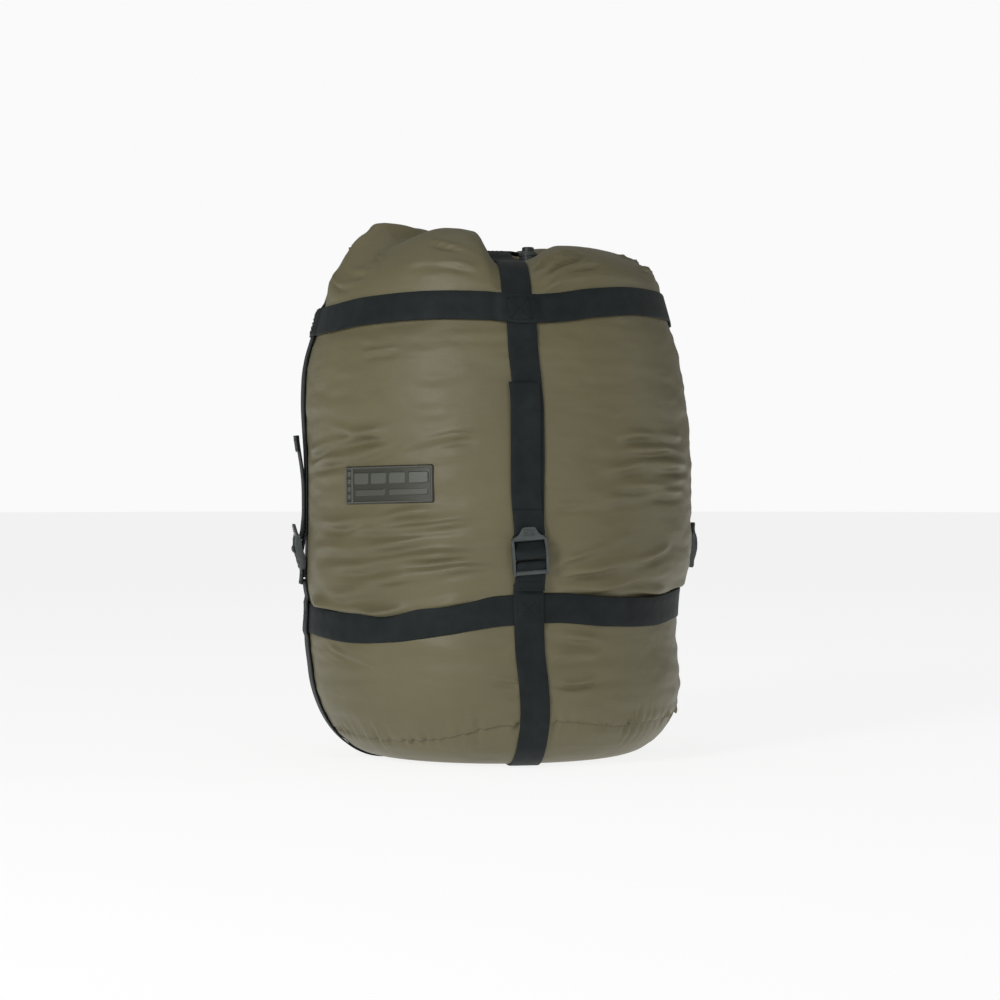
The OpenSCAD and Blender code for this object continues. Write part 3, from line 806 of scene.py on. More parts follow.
def finish_fabric(name, grid, coordinates, body):
    """Rounds a part of the skin, pushes its folds and creases out and gives it thickness."""
    faces = grid_faces(len(grid), COLUMNS)
    obj = new_object(name, grid.reshape(-1, 3), faces, FABRIC, body, closed=False)
    set_attribute(obj, "cloth", coordinates.reshape(-1, 3))
    obj.modifiers.new("round", "SUBSURF").levels = 1
    apply_modifiers(obj)
    points = read_vectors(obj.data.vertices, "co") / MM
    normals = read_vectors(obj.data.vertices, "normal")
    place = read_vectors(obj.data.attributes["cloth"].data, "vector") * 10
    across, along = place[:, 0], place[:, 1]
    degrees = np.degrees(across / WALL_R)
    push = fold_heights(across, along) + seam_gathers(across, along)
    push *= smoothstep(strap_distance(degrees, WALL_R), 11, 17)
    near_patch = on_patch(degrees, np.interp(along, ROW_LENGTHS, ROW_HEIGHTS), 1)
    push = np.where(near_patch, 0, push) + fine_creases(points) * np.where(near_patch, 0.3, 1)
    points += normals * push[:, None]
    obj.data.vertices.foreach_set("co", (points * MM).ravel())
    thicken(obj, FABRIC_T)
    smooth_faces(obj.data)
    return obj


def squashed(obj):
    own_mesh(obj)


def sack_skin():
    parts = (("lower", 0, LOW_ROW + 1, "sack_base"), ("middle", LOW_ROW, HIGH_ROW + 1, "sack_base"),
             ("upper", HIGH_ROW, len(rows), "sack_top"))
    pieces = [finish_fabric("sack_" + name, skin[first:end], coords[first:end], body)
              for name, first, end, body in parts]
    squashed(pieces[1])
    for piece, part in zip(pieces, parts):
        stands_for(piece, "sack_fabric", part[0] + "_fabric")


def base_panel():
    """The padded round base, up to the puckered seam, with a hollow where the two straps cross."""
    count = 2 * COLUMNS
    degrees = np.arange(count) * 180 / COLUMNS
    a = np.radians(degrees)
    flat = [(2.0, 2.4), (12, 2.4), (17, 2.2), (21, 0.8), (25, 0), (45, 0), (70, 0), (90, 0)]
    rings = [ring_point(a, r, FLOOR_Z + rise) for r, rise in flat]
    end = seam_angle(degrees)
    for share in np.linspace(0, 1, 22):
        ring = corner_point(degrees, end * share)
        push = 0.7 * seam_gathers(arc(degrees) + 2, np.full(count, (1 - share) * 45))
        push -= 1.3 * smoothstep(share, 0.86, 1)
        for j, (x, y, z) in enumerate(ring):
            push[j] += 0.8 * noise.noise((x / 30, y / 30, z / 4)) * float(smoothstep(share, 0.1, 0.5))
        ring[:, 0] += np.sin(a) * push
        ring[:, 1] -= np.cos(a) * push
        rings.append(ring)
    inside = corner_point(degrees, end + 2)
    inside[:, :2] *= 0.985
    grid = np.array(rings + [inside])
    faces = grid_faces(len(grid), count) + cap_faces(len(grid), count)[:1]
    obj = new_object("sack_base_panel", grid.reshape(-1, 3), faces, FABRIC, "sack_base", closed=False)
    set_attribute(obj, "cloth", cloth_coordinates(grid).reshape(-1, 3))
    thicken(obj, BASE_T)
    stands_for(obj, "sack_fabric", "base_panel")


# ---- webbing ----

WEB_GAP = 0.3
LAYER = WEB_T + WEB_GAP


def even(path, step=2.5, rounds=2):
    """A path of evenly spaced points, rounded a little."""
    path = np.array(path, float)
    travel = travel_along(path)
    at = np.linspace(0, travel[-1], max(3, int(travel[-1] / step) + 1))
    out = np.stack([np.interp(at, travel, path[:, k]) for k in range(path.shape[1])], -1)
    for _ in range(rounds):
        out[1:-1] = (out[:-2] + 2 * out[1:-1] + out[2:]) / 4
    return out


def webbing_section():
    """The outline of webbing cut across, with rounded edges."""
    w, t = WEB_W / 2, WEB_T
    right = [(w * 0.5, t), (w - 1.1, t), (w - 0.3, t * 0.86), (w, t * 0.5), (w - 0.3, t * 0.14), (w - 1.1, 0),
             (w * 0.5, 0)]
    return np.array([(0, t)] + right + [(0, 0)] + [(-x, y) for x, y in reversed(right)])


def ribbon(name, centre, across, out, body, rise=WEB_GAP, closed=False):
    """Webbing along a line of points on the face under it, with directions across it and out of it."""
    shape = webbing_section()
    rise = np.broadcast_to(np.asarray(rise, float), (len(centre),))
    height = shape[None, :, 1] + rise[:, None]
    rings = centre[:, None] + across[:, None] * shape[None, :, :1] + out[:, None] * height[..., None]
    n, k = len(centre), len(shape)
    faces = grid_faces(n, k, closed=closed) + ([] if closed else cap_faces(n, k))
    obj = new_object(name, rings.reshape(-1, 3), faces, WEBBING, body)
    place = np.zeros((n, k, 3))
    place[..., 0] = shape[None, :, 0] / 10
    place[..., 1] = travel_along(centre)[:, None] / 10
    set_attribute(obj, "cloth", place.reshape(-1, 3))
    return obj


UP = np.array([0, 0, 1.0])


def side_directions(side):
    """The directions away from the axis and across a side."""
    a = math.radians(SIDE_ANGLES[side])
    return np.array([math.sin(a), -math.cos(a), 0]), np.array([math.cos(a), math.sin(a), 0])


def in_side_plane(side, path, sideways=0.0):
    """Turns (distance, height) points in a side's plane into centres, directions across and out."""
    away, along = side_directions(side)
    tangent = np.gradient(path, axis=0)
    tangent /= np.linalg.norm(tangent, axis=1, keepdims=True)
    drift = np.broadcast_to(sideways, len(path))[:, None] * along
    centre = path[:, :1] * away + path[:, 1:] * UP + drift
    out = tangent[:, 1:] * away - tangent[:, :1] * UP
    return centre, np.tile(along, (len(path), 1)), out


def distance_and_height(points):
    return [(math.hypot(x, y), z) for x, y, z in np.reshape(points, (-1, 3))]


def lower_route(side, top):
    a = SIDE_ANGLES[side]
    path = [(q, FLOOR_Z) for q in (0, 10, 20, 40, 70, 95)]
    path += distance_and_height([corner_point(a, t) for t in np.linspace(0, 90, 24)])
    path += distance_and_height([wall_point(a, z) for z in np.arange(CORNER_Z + 2, 190, 2)])
    return [q for q in path if q[1] < top]


def hoop_height(side, wave, middle):
    return middle + float(around(wave, SIDE_ANGLES[side]))


def over_hoop(side, z):
    """The lower straps are sewn over the lower hoop."""
    away = np.abs(z - hoop_height(side, LOW_WAVE, LOW_HOOP_Z))
    return LAYER * (1 - smoothstep(away, 12.8, 17.5))


SEWN_Z = LOCK_BAR_Z - 16


def bottom_strap(name, node, first, second, under):
    """One lower strap, up one side, under the base and up the other."""
    halves = [even(lower_route(side, SEWN_Z)) for side in (first, second)]
    path = np.concatenate([(halves[1] * (-1, 1))[::-1], halves[0][1:]])
    rise = np.full(len(path), WEB_GAP)
    for i, (q, z) in enumerate(path):
        rise[i] += over_hoop(first if q > 0 else second, z) if z > 80 else 0
        if z < 20:
            rise[i] -= under * LAYER * (1 - smoothstep(abs(q), 15, 22))
    centre, across, out = in_side_plane(first, path)
    obj = ribbon(name, centre, across, out, "sack_base", rise)
    stands_for(obj, "webbing", node)


def upper_route(side):
    a = SIDE_ANGLES[side]
    path = distance_and_height([wall_point(a, z) for z in np.arange(HIGH_HOOP_Z + 1, HOOP_TOP, 3)])
    path += distance_and_height([top_point(a, t) for t in np.linspace(0, 2, 60)])
    crown = sorted(CROWNS[side])
    path += [(q, float(curve(crown, q))) for q in (32, 24, 16, 8, 0)]
    return path


def top_strap(name, node, first, second, over):
    halves = [even(upper_route(side), 2.5, 8) for side in (first, second)]
    path = np.concatenate([halves[0], (halves[1] * (-1, 1))[::-1][1:]])
    rise = WEB_GAP + over * LAYER * (1 - smoothstep(np.abs(path[:, 0]), 15, 26))
    centre, across, out = in_side_plane(first, path)
    obj = ribbon(name, centre, across, out, "sack_top", rise)
    stands_for(obj, "webbing", node)


def hoop(name, node, middle, body, bridged):
    degrees = np.arange(360)
    centre = wall_point(degrees, np.full(360, middle))
    below = wall_point(degrees, np.full(360, middle - 11))
    above = wall_point(degrees, np.full(360, middle + 11))
    tangent = np.roll(centre, -1, axis=0) - np.roll(centre, 1, axis=0)
    across = above - below
    across -= tangent * (across * tangent).sum(1, keepdims=True) / (tangent * tangent).sum(1, keepdims=True)
    across /= np.linalg.norm(across, axis=1, keepdims=True)
    out = np.cross(tangent, across)
    out /= np.linalg.norm(out, axis=1, keepdims=True)
    out *= np.sign((out[:, :2] * centre[:, :2]).sum(1, keepdims=True))
    near = strap_distance(degrees, np.hypot(centre[:, 0], centre[:, 1]))
    rise = WEB_GAP + bridged * LAYER * (1 - smoothstep(near, 13.2, 20)) + 0.25 * (1 - bridged)
    obj = ribbon(name, centre, across, out, body, rise, closed=True)
    stands_for(obj, "webbing", node)


BLEND_Z = 215.0
TURN_Z = LOCK_BAR_Z + 10
STRAP_LOW_Z = LOCK_BAR_Z + 23


def wall_route(side, low, high):
    a = SIDE_ANGLES[side]
    path = distance_and_height([wall_point(a, z) for z in np.arange(low - 8, high + 8, 2)])
    return [q for q in path if low <= q[1] <= high]


def load_strap(side):
    top = hoop_height(side, HIGH_WAVE, HIGH_HOOP_Z) - 1.5
    low_path = even(wall_route(side, STRAP_LOW_Z, BLEND_Z + 0.5))
    low = ribbon("load_strap_low_" + side, *in_side_plane(side, low_path), None)
    path = even(wall_route(side, BLEND_Z, top))
    drift = curve(LOAD_DRIFT, path[:, 1]) if side == "front" else 0.0
    high = ribbon("load_strap_" + side, *in_side_plane(side, path, drift), "sack_base")
    for obj in (low, high):
        stands_for(obj, "webbing", "load_strap_" + side)
    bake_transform(low)
    squashed(high)


TAIL_STANDS_OFF = {"front": 1.2, "right": 1.5, "back": 2.5, "left": 4.4}
TAIL_SHARE = {"front": 1.0, "right": -0.3, "back": 0.5, "left": 0.35}
TAIL_DRIFT = [(200, 0), (212, -1.5), (232, -3), (300, -4.2), (321, -5.4)]
# The front load strap swings across under its tail
LOAD_DRIFT = [(265, 0), (295, -0.6), (322, -2.2), (345, -1.2), (363, -0.2), (371, 0)]


def tail_stand_off(side, z, top):
    return TAIL_STANDS_OFF[side] * float(smoothstep(z, 222, top)) ** 1.5


def strap_tail(side):
    """The loose end lies on its load strap, drifts to one side and stands off a little at its hem."""
    top = FRONT_TAIL_Z if side == "front" else SIDE_TAIL_Z
    path = []
    for r, z in wall_route(side, STRAP_LOW_Z, top):
        from_turn = 1.4 * float(smoothstep(z, 212, STRAP_LOW_Z))
        path.append((r + LAYER + WEB_GAP + from_turn + tail_stand_off(side, z, top), z))
    path = even(path, 2.0, 4)
    sideways = curve(TAIL_DRIFT, path[:, 1]) * TAIL_SHARE[side]
    cut = int(np.searchsorted(path[:, 1], BLEND_Z))
    centre, across, out = in_side_plane(side, path, sideways)
    low = ribbon("strap_tail_low_" + side, centre[:cut + 1], across[:cut + 1], out[:cut + 1], None, 0.0)
    high = ribbon("strap_tail_" + side, centre[cut:], across[cut:], out[cut:], None, 0.0)
    for obj in (low, high):
        stands_for(obj, "webbing", "strap_tail_" + side)
    if side != "front":
        hem_rise = WEB_T - 0.15 + np.linspace(0.0, 0.25, 8)
        hem = ribbon("tail_hem_" + side, centre[-8:], across[-8:], out[-8:], "tail_" + side, hem_rise)
    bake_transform(low)
    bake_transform(high)


def arc_round(centre_r, centre_z, radius, start, end, steps=9):
    """Points of (distance, height) round a bar: 0 degrees faces out and 90 up."""
    angles = [math.radians(a) for a in np.linspace(start, end, steps)]
    return [(centre_r + radius * math.cos(a), centre_z + radius * math.sin(a)) for a in angles]


BAR_R = 1.8
ON_BAR = BAR_R + 0.15


def anchor_loop(side):
    """The lower strap's end goes up behind the anchor bar, over it, and is sewn down in front."""
    wall = WALL_R - STRAP_SINK[side]
    path = [(wall + 2.0, SEWN_Z - 6), (wall + 2.1, SEWN_Z + 2), (wall + 2.5, SEWN_Z + 6),
            (wall + 3.6, SEWN_Z + 9.5), (wall + 5.9, SEWN_Z + 13)]
    path += arc_round(LOCK_BAR_R - STRAP_SINK[side], LOCK_BAR_Z, ON_BAR, 0, 180)
    path += [(wall + 2.1, SEWN_Z + 9), (wall + 1.85, SEWN_Z + 4), (wall + 1.85, SEWN_Z)]
    obj = ribbon("anchor_loop_" + side, *skewed_ribbon(side, even(path, 1.2, 1)), "sack_base", 0.0)
    stands_for(obj, "webbing", "anchor_loop_" + side)


TURN_R = LOCK_BAR_R + 3.0
SKEW = {"front": math.radians(4.5), "right": 0.0, "back": 0.0, "left": 0.0}
SKEW_PIVOT_Z = LOCK_BAR_Z + 5


def skewed(vectors, turn, pivot=0.0):
    """Turns points or directions of a buckle in its own plane, about its middle."""
    out = np.array(vectors, float)
    out[:, 0], up = rotated(out[:, 0], out[:, 2] - pivot, turn)
    out[:, 2] = up + pivot
    return out


def skewed_ribbon(side, path):
    centre, across, out = in_side_plane(side, path)
    turn = SKEW[side] * smoothstep(centre[:, 2], SEWN_Z - 4, SEWN_Z + 12)
    return skewed(centre, turn, SKEW_PIVOT_Z), skewed(across, turn), skewed(out, turn)


def strap_turn(side):
    """The load strap comes down behind the turn bar, goes round it and back up as the tail."""
    wall = WALL_R - STRAP_SINK[side]
    path = [(wall + 2.1, STRAP_LOW_Z + 1), (wall + 3.2, STRAP_LOW_Z - 5)]
    path += arc_round(TURN_R - STRAP_SINK[side], TURN_Z - 1.5, ON_BAR + 1.3, 180, 400, 14)
    path += [(wall + 7.2, TURN_Z + 4.2), (wall + 5.4, TURN_Z + 6.6), (wall + 4.3, TURN_Z + 9.5),
             (wall + 3.6, STRAP_LOW_Z + 1)]
    obj = ribbon("strap_turn_" + side, *skewed_ribbon(side, even(path, 1.2, 1)), "lock_" + side, 0.0)
    stands_for(obj, "webbing", "strap_turn_" + side)


# ---- ladder locks ----

class Solid:
    """Collects simple closed shapes for one moulded piece, drawn at the front."""

    def __init__(self):
        self.points, self.faces = [], []

    def add(self, low, high):
        """A closed shape between two outlines with as many points each."""
        start, n = len(self.points), len(low)
        self.points += [tuple(p) for p in low] + [tuple(p) for p in high]
        self.faces += grid_faces(2, n, start) + cap_faces(2, n, start)

    def across(self, outline, x0, x1):
        """An outline of (distance, height) pulled across the front from x0 to x1."""
        self.add([(x0, -r, z) for r, z in outline], [(x1, -r, z) for r, z in outline])

    def bar(self, r, z, size_r, size_z, half, sides=20):
        angles = np.arange(sides) * 2 * math.pi / sides
        self.across([(r + size_r * math.cos(a), z + size_z * math.sin(a)) for a in angles], -half, half)

    def turned(self, profile, centre, sides=40):
        """A lathed shape: profile of (radius, height), from the bottom's middle to the top's."""
        start = len(self.points)
        angles = np.arange(sides) * 2 * math.pi / sides
        for r, z in profile:
            self.points += [(centre[0] + r * math.cos(a), centre[1] + r * math.sin(a), z) for a in angles]
        self.faces += grid_faces(len(profile), sides, start) + cap_faces(len(profile), sides, start)

    def finish(self, name, material, body, angle=0.0, bevel=0.0, leaning=False, tilt=0.0):
        """Tilts the piece about the anchor bar and turns it to its side, both in degrees."""
        points = np.array(self.points, float)
        if tilt:
            y, z = rotated(points[:, 1] + LOCK_BAR_R, points[:, 2] - LOCK_BAR_Z, math.radians(tilt))
            points[:, 1], points[:, 2] = y - LOCK_BAR_R, z + LOCK_BAR_Z
        points[:, 0], points[:, 1] = rotated(points[:, 0], points[:, 1], math.radians(angle))
        obj = new_object(name, points, self.faces, material, body, leaning)
        if bevel:
            cut = obj.modifiers.new("bevel", "BEVEL")
            cut.width = bevel * MM
            cut.segments = 2
            cut.limit_method = "ANGLE"
            cut.angle_limit = math.radians(35)
            apply_modifiers(obj)
        obj.data.set_sharp_from_angle(angle=math.radians(38))
        return obj


# Seen from the side, distance from the wall and height above the end bar
RAIL = [(4.6, -2.0), (7.4, -2.2), (8.4, -0.5), (8.6, 4), (10.2, 9), (11.4, 14), (11.6, 19), (11.2, 24),
        (10.2, 28), (8.0, 28.8), (6.4, 27.5), (5.6, 23), (5.0, 16), (3.4, 10), (3.0, 4), (3.6, 0)]
RAIL_T = 2.2
# The thumb tab's outline, across and up from the grip bar
TAB = [(13.4, 0), (12.4, 2.0), (9.6, 3.6), (7.8, 5.6), (6.4, 8.2), (5.8, 9.6), (4.8, 10.7), (3.4, 11)]
TAB_T, TAB_SLOPE = 2.4, 0.16
RIDGE_HALF = 4.6


def ladder_lock(side):
    end_z = LOCK_BAR_Z - 7
    grip_z = end_z + 27.6
    half = LOCK_W / 2 - 1.1
    lock = Solid()
    rail = [(WALL_R + r, end_z + z) for r, z in RAIL]
    lock.across(rail, -half, -half + RAIL_T)
    lock.across(rail, half - RAIL_T, half)
    lock.bar(WALL_R + 6.2, end_z + 0.2, 1.5, 1.9, half - 1)
    lock.bar(LOCK_BAR_R, LOCK_BAR_Z, BAR_R, BAR_R, half - 1)
    lock.bar(TURN_R, TURN_Z, BAR_R, BAR_R, half - 1)
    lock.bar(WALL_R + 8.3, grip_z, 1.8, 1.5, half - 1)
    front = [(x, -(WALL_R + 9.9 + z * TAB_SLOPE), grip_z + 0.9 * z)
             for x, z in TAB + [(-x, z) for x, z in reversed(TAB)]]
    lock.add([(x, y + TAB_T, z) for x, y, z in front], front)
    for z in (3.6, 5.6, 7.6):
        r = WALL_R + 9.8 + z * TAB_SLOPE
        low, high = r - 0.3, r + 0.9
        ridge = [(low, end_z + 26.9 + z), (high, end_z + 27.1 + z), (high, end_z + 27.7 + z),
                 (low, end_z + 27.9 + z)]
        lock.across(ridge, -RIDGE_HALF, RIDGE_HALF)
    lock.points = skewed(lock.points, SKEW[side], SKEW_PIVOT_Z) + (0, STRAP_SINK[side], 0)
    obj = lock.finish("ladder_lock_" + side, BUCKLE, "lock_" + side, SIDE_ANGLES[side], bevel=0.55,
                      tilt=4.0 if side == "left" else 0.0)
    stands_for(obj, "buckle_plastic", "ladder_lock_" + side)


# ---- sewing ----

def dashes(name, runs, body, length=2.5, pitch=3.5, wide=0.42, high=0.34, sides=6):
    """Raised stitches along straight runs of (start, end, direction out)."""
    points, faces = [], []
    sections = ((-0.5, 0.35), (-0.28, 1.0), (0.28, 1.0), (0.5, 0.35))
    for start, end, out in runs:
        start, end, out = (np.array(v, float) for v in (start, end, out))
        total = np.linalg.norm(end - start)
        along = (end - start) / total
        side = np.cross(along, out)
        count = max(1, int(total / pitch))
        for k in range(count):
            middle = start + along * (k + 0.5) * total / count
            base = len(points)
            for t, size in sections:
                for a in np.arange(sides) * math.pi / 3:
                    offset = side * wide * size * math.cos(a) + out * high * size * math.sin(a)
                    points.append(middle + along * t * length + offset)
            faces += grid_faces(len(sections), sides, base) + cap_faces(len(sections), sides, base)
    return new_object(name, points, faces, THREAD, body)


def box_runs(centre, across, up, size=19.0):
    out = np.cross(across, up)
    half = size / 2
    corner = [centre + across * x * half + up * z * half for x, z in ((-1, -1), (1, -1), (1, 1), (-1, 1))]
    pairs = [(0, 1), (1, 2), (2, 3), (3, 0), (0, 2), (1, 3)]
    return [(corner[i], corner[j], out) for i, j in pairs]


ROW_HALF = 10.5           # of a row of stitches across the webbing


def sewing():
    lower_runs, upper_runs = [], []
    for side in SIDES:
        away, across = side_directions(side)
        a = SIDE_ANGLES[side]
        low_z = hoop_height(side, LOW_WAVE, LOW_HOOP_Z)
        lower_runs += box_runs(away * (LOW_R - 0.45 + LAYER + WEB_GAP + WEB_T) + UP * low_z, across, UP)
        sewn = away * (WALL_R - STRAP_SINK[side] + 2.1 + WEB_T)
        for z in (SEWN_Z - 4, SEWN_Z + 1.5):
            lower_runs.append((sewn - across * ROW_HALF + UP * z, sewn + across * ROW_HALF + UP * z, away))
        slope = (wall_radius(a, HIGH_HOOP_Z + 11) - wall_radius(a, HIGH_HOOP_Z - 11)) / 22
        tilted = (UP + away * slope) / math.hypot(1, slope)
        normal = np.cross(across, tilted)
        place = away * wall_radius(a, HIGH_HOOP_Z) + UP * hoop_height(side, HIGH_WAVE, HIGH_HOOP_Z)
        upper_runs += box_runs(place + normal * (2 * LAYER + 0.05), across, tilted)
    crown = np.array([0, 0, CROWNS["front"][-1][1] + LAYER + WEB_GAP + WEB_T + 0.05])
    crown_runs = box_runs(crown, np.array([1.0, 0, 0]), np.array([0, 1.0, 0]))
    stands_for(dashes("stitches_lower_hoop", lower_runs, "sack_base"), "thread", "stitches_lower")
    stands_for(dashes("stitches_upper_hoop", upper_runs, "sack_top"), "thread", "stitches_upper")
    stands_for(dashes("stitches_over_top", crown_runs, "sack_top"), "thread", "stitches_crown")


def tail_sewing(side):
    """Two rows of stitches that hold down a tail's folded hem."""
    away, across = side_directions(side)
    top = SIDE_TAIL_Z
    runs = []
    for z in (top - 12, top - 4):
        wall = float(wall_radius(SIDE_ANGLES[side], z))
        r = wall + LAYER + WEB_GAP + tail_stand_off(side, z, top) + 2 * WEB_T + 0.02
        middle = away * r + across * (float(curve(TAIL_DRIFT, z)) * TAIL_SHARE[side]) + UP * z
        runs.append((middle - across * ROW_HALF, middle + across * ROW_HALF, away))
    dashes("tail_stitches_" + side, runs, "tail_" + side)


# ---- label ----

def box_distance(x, y, centre_x, centre_y, half_w, half_h, radius):
    """Distance outside a rectangle with rounded corners; negative inside."""
    dx = np.abs(x - centre_x) - half_w + radius
    dy = np.abs(y - centre_y) - half_h + radius
    return np.hypot(np.maximum(dx, 0), np.maximum(dy, 0)) + np.minimum(np.maximum(dx, dy), 0) - radius


def raised(x, y, *rectangle):
    return 1 - smoothstep(box_distance(x, y, *rectangle), -0.3, 0.2)


def label_relief(x, y):
    """Height of the moulded patch: a raised border, a divider and plain blocks."""
    edge = box_distance(x, y, 0, 0, PATCH_W / 2, PATCH_H / 2, 2.5)
    height = np.where(edge < 0, 1.0 * smoothstep(-edge, 0, 0.7), -1.0)
    ridge = 1 - smoothstep(np.abs(edge + 1.7), 0.35, 0.75)
    ridge = np.maximum(ridge, (1 - smoothstep(np.abs(x + 34.5), 0.3, 0.7)) * (np.abs(y) < 14))
    for left, right in ((-31.5, -16.5), (-13.5, 1.5), (4.5, 19.5), (22.5, 39.5)):
        ridge = np.maximum(ridge, raised(x, y, (left + right) / 2, 5.4, (right - left) / 2, 4.6, 1.5))
    for middle, half in ((-15.5, 15.5), (21.5, 17.5)):
        ridge = np.maximum(ridge, 0.6 * raised(x, y, middle, -6.4, half, 2.4, 1.0))
    for z in (-9.5, -3.2, 3.2, 9.5):
        ridge = np.maximum(ridge, 0.8 * raised(x, y, -38.4, z, 1.5, 2.0, 0.6))
    ridge = ridge * (edge < -0.6)
    return height + 0.9 * ridge, ridge


def sheet_faces(rows_n, cols):
    """Two sheets of points, one over the other, joined along their edges."""
    n = rows_n * cols
    faces = []
    for i in range(rows_n - 1):
        for j in range(cols - 1):
            k = i * cols + j
            faces.append((k, k + 1, k + cols + 1, k + cols))
            faces.append((n + k + cols, n + k + cols + 1, n + k + 1, n + k))
    rim = list(range(cols)) + [i * cols + cols - 1 for i in range(1, rows_n)]
    rim += [(rows_n - 1) * cols + j for j in range(cols - 2, -1, -1)]
    rim += [i * cols for i in range(rows_n - 2, 0, -1)]
    for a, b in zip(rim, rim[1:] + rim[:1]):
        faces.append((b, a, n + a, n + b))
    return faces


def label_patch():
    xs, ys = np.linspace(-PATCH_W / 2, PATCH_W / 2, 250), np.linspace(-PATCH_H / 2, PATCH_H / 2, 96)
    x, y = np.meshgrid(xs, ys)
    height, ridge = label_relief(x, y)
    along, up = rotated(x, y, PATCH_TILT)
    degrees, z = PATCH_ANGLE + np.degrees(along / WALL_R), PATCH_Z + up
    sheets = [ring_point(np.radians(degrees), wall_radius(degrees, z) + h, z).reshape(-1, 3)
              for h in (height + 0.35, np.full_like(height, -0.5))]
    obj = new_object("label_patch_relief", np.concatenate(sheets), sheet_faces(*x.shape), PATCH, "sack_base")
    # The raised parts' mask: the material paints them paler (painted highlight) and the field darker (painted
    # shade)
    shade = np.concatenate([ridge.ravel(), np.zeros(x.size)])
    set_attribute(obj, "relief", np.stack([shade, shade, shade], -1))
    squashed(obj)
    stands_for(obj, "patch_rubber", "label_patch")


# ---- mouth, drawcord and cord lock ----

KNOT_REACH = 68.0


def at_lock(across, out, z):
    """A point given across and out along the cord's direction from the mouth."""
    a = math.radians(LOCK_ANGLE)
    return (across * math.cos(a) + out * math.sin(a), across * math.sin(a) - out * math.cos(a), z)


def gathered_hem():
    """The drawcord's channel, a ring of cloth drawn into pleats."""
    sides, count = 20, 240
    points = []
    for i in range(count):
        a = i * 2 * math.pi / count
        pleat = 0.9 * math.cos(26 * a + 2.2 * math.sin(3 * a + 1)) + 0.5 * math.cos(17 * a + 0.7)
        for k in range(sides):
            t = k * 2 * math.pi / sides
            r = 29 + (7.6 + 0.5 * pleat) * math.copysign(abs(math.cos(t)) ** 0.8, math.cos(t))
            z = HEM_Z + (4.4 + 0.55 * pleat) * math.copysign(abs(math.sin(t)) ** 0.8, math.sin(t))
            points.append((r * math.sin(a), -r * math.cos(a), z))
    obj = new_object("mouth_hem", points, grid_faces(count, sides, closed=True), FABRIC, "sack_top")
    place = [(i * 0.076, k * 0.15, 0) for i in range(count) for k in range(sides)]
    set_attribute(obj, "cloth", place)
    stands_for(obj, "sack_fabric", "drawcord_hem")


def mouth_pleats():
    """The cloth drawn together inside the hem."""
    count = 240
    a = np.arange(count) * 2 * np.pi / count
    rings = []
    for r in np.linspace(22.5, 1.0, 22):
        pleat = np.cos(13 * a + 1.1 * np.sin(3 * a)) + 0.5 * np.cos(21 * a + 2)
        z = 426.5 + 4.5 * smoothstep(r, 2, 21) + 1.2 * pleat * smoothstep(r, 1, 10)
        rings.append(ring_point(a, r, z))
    rings += [ring_point(a, 0.8, 424.8), ring_point(a, 22, 424.6)]
    grid = np.array(rings)
    faces = grid_faces(len(grid), count, closed=True)
    obj = new_object("mouth_pleats", grid.reshape(-1, 3), faces, FABRIC, "sack_top")
    set_attribute(obj, "cloth", grid.reshape(-1, 3) / 10)
    stands_for(obj, "sack_fabric", "gathered_mouth")


def tube(name, path, radius, material, sides=14, closed=False):
    """A round tube of the gathered top along a path."""
    path = np.array(path, float)
    n = len(path)
    if closed:
        tangent = np.roll(path, -1, axis=0) - np.roll(path, 1, axis=0)
    else:
        tangent = np.gradient(path, axis=0)
    tangent /= np.linalg.norm(tangent, axis=1, keepdims=True)
    across = np.cross(tangent[0], (0.3, 0.2, 1))
    rings, travel = [], 0
    place = []
    for i in range(n):
        across = across - tangent[i] * np.dot(across, tangent[i])
        across /= np.linalg.norm(across)
        other = np.cross(tangent[i], across)
        travel += np.linalg.norm(path[i] - path[max(i - 1, 0)])
        for k in range(sides):
            a = k * 2 * math.pi / sides
            rings.append(path[i] + radius * (math.cos(a) * across + math.sin(a) * other))
            place.append((a * radius / 10, travel / 10, 0))
    faces = grid_faces(n, sides, closed=closed) + ([] if closed else cap_faces(n, sides))
    obj = new_object(name, rings, faces, material, "sack_top")
    set_attribute(obj, "cloth", place)
    return obj


def drawcord():
    """The cord's two ends leave the hem side by side, pass through the lock and end in one knot."""
    start, end = 35.5, KNOT_REACH - 2.5
    for name, x in (("left", -1.65), ("right", 1.65)):
        path = [at_lock(x, out, HEM_Z - 0.6 * math.sin((out - start) / (end - start) * math.pi))
                for out in np.linspace(start, end, 34)]
        obj = tube("drawcord_end_" + name, path, CORD_D / 2, CORD)
        real = settle(path) * MM
        stands_for(obj, "cord", "drawcord")


def drawcord_knot():
    loop = []
    for t in np.linspace(0, 2 * math.pi, 90, endpoint=False):
        u, v, w = math.sin(t) + 2 * math.sin(2 * t), math.cos(t) - 2 * math.cos(2 * t), -math.sin(3 * t)
        loop.append(at_lock(u * 1.35, KNOT_REACH + w * 1.9, HEM_Z + v * 1.2))
    obj = tube("drawcord_knot_tied", loop, CORD_D / 2, CORD, closed=True)
    stands_for(obj, "cord", "drawcord_knot")


def cord_ear(reach, across, height):
    """The oval mouth of the barrel's hole for the cord."""
    return [at_lock(across * math.cos(t), LOCK_REACH + reach, HEM_Z - 0.4 + height * math.sin(t))
            for t in np.arange(28) * math.pi / 14]


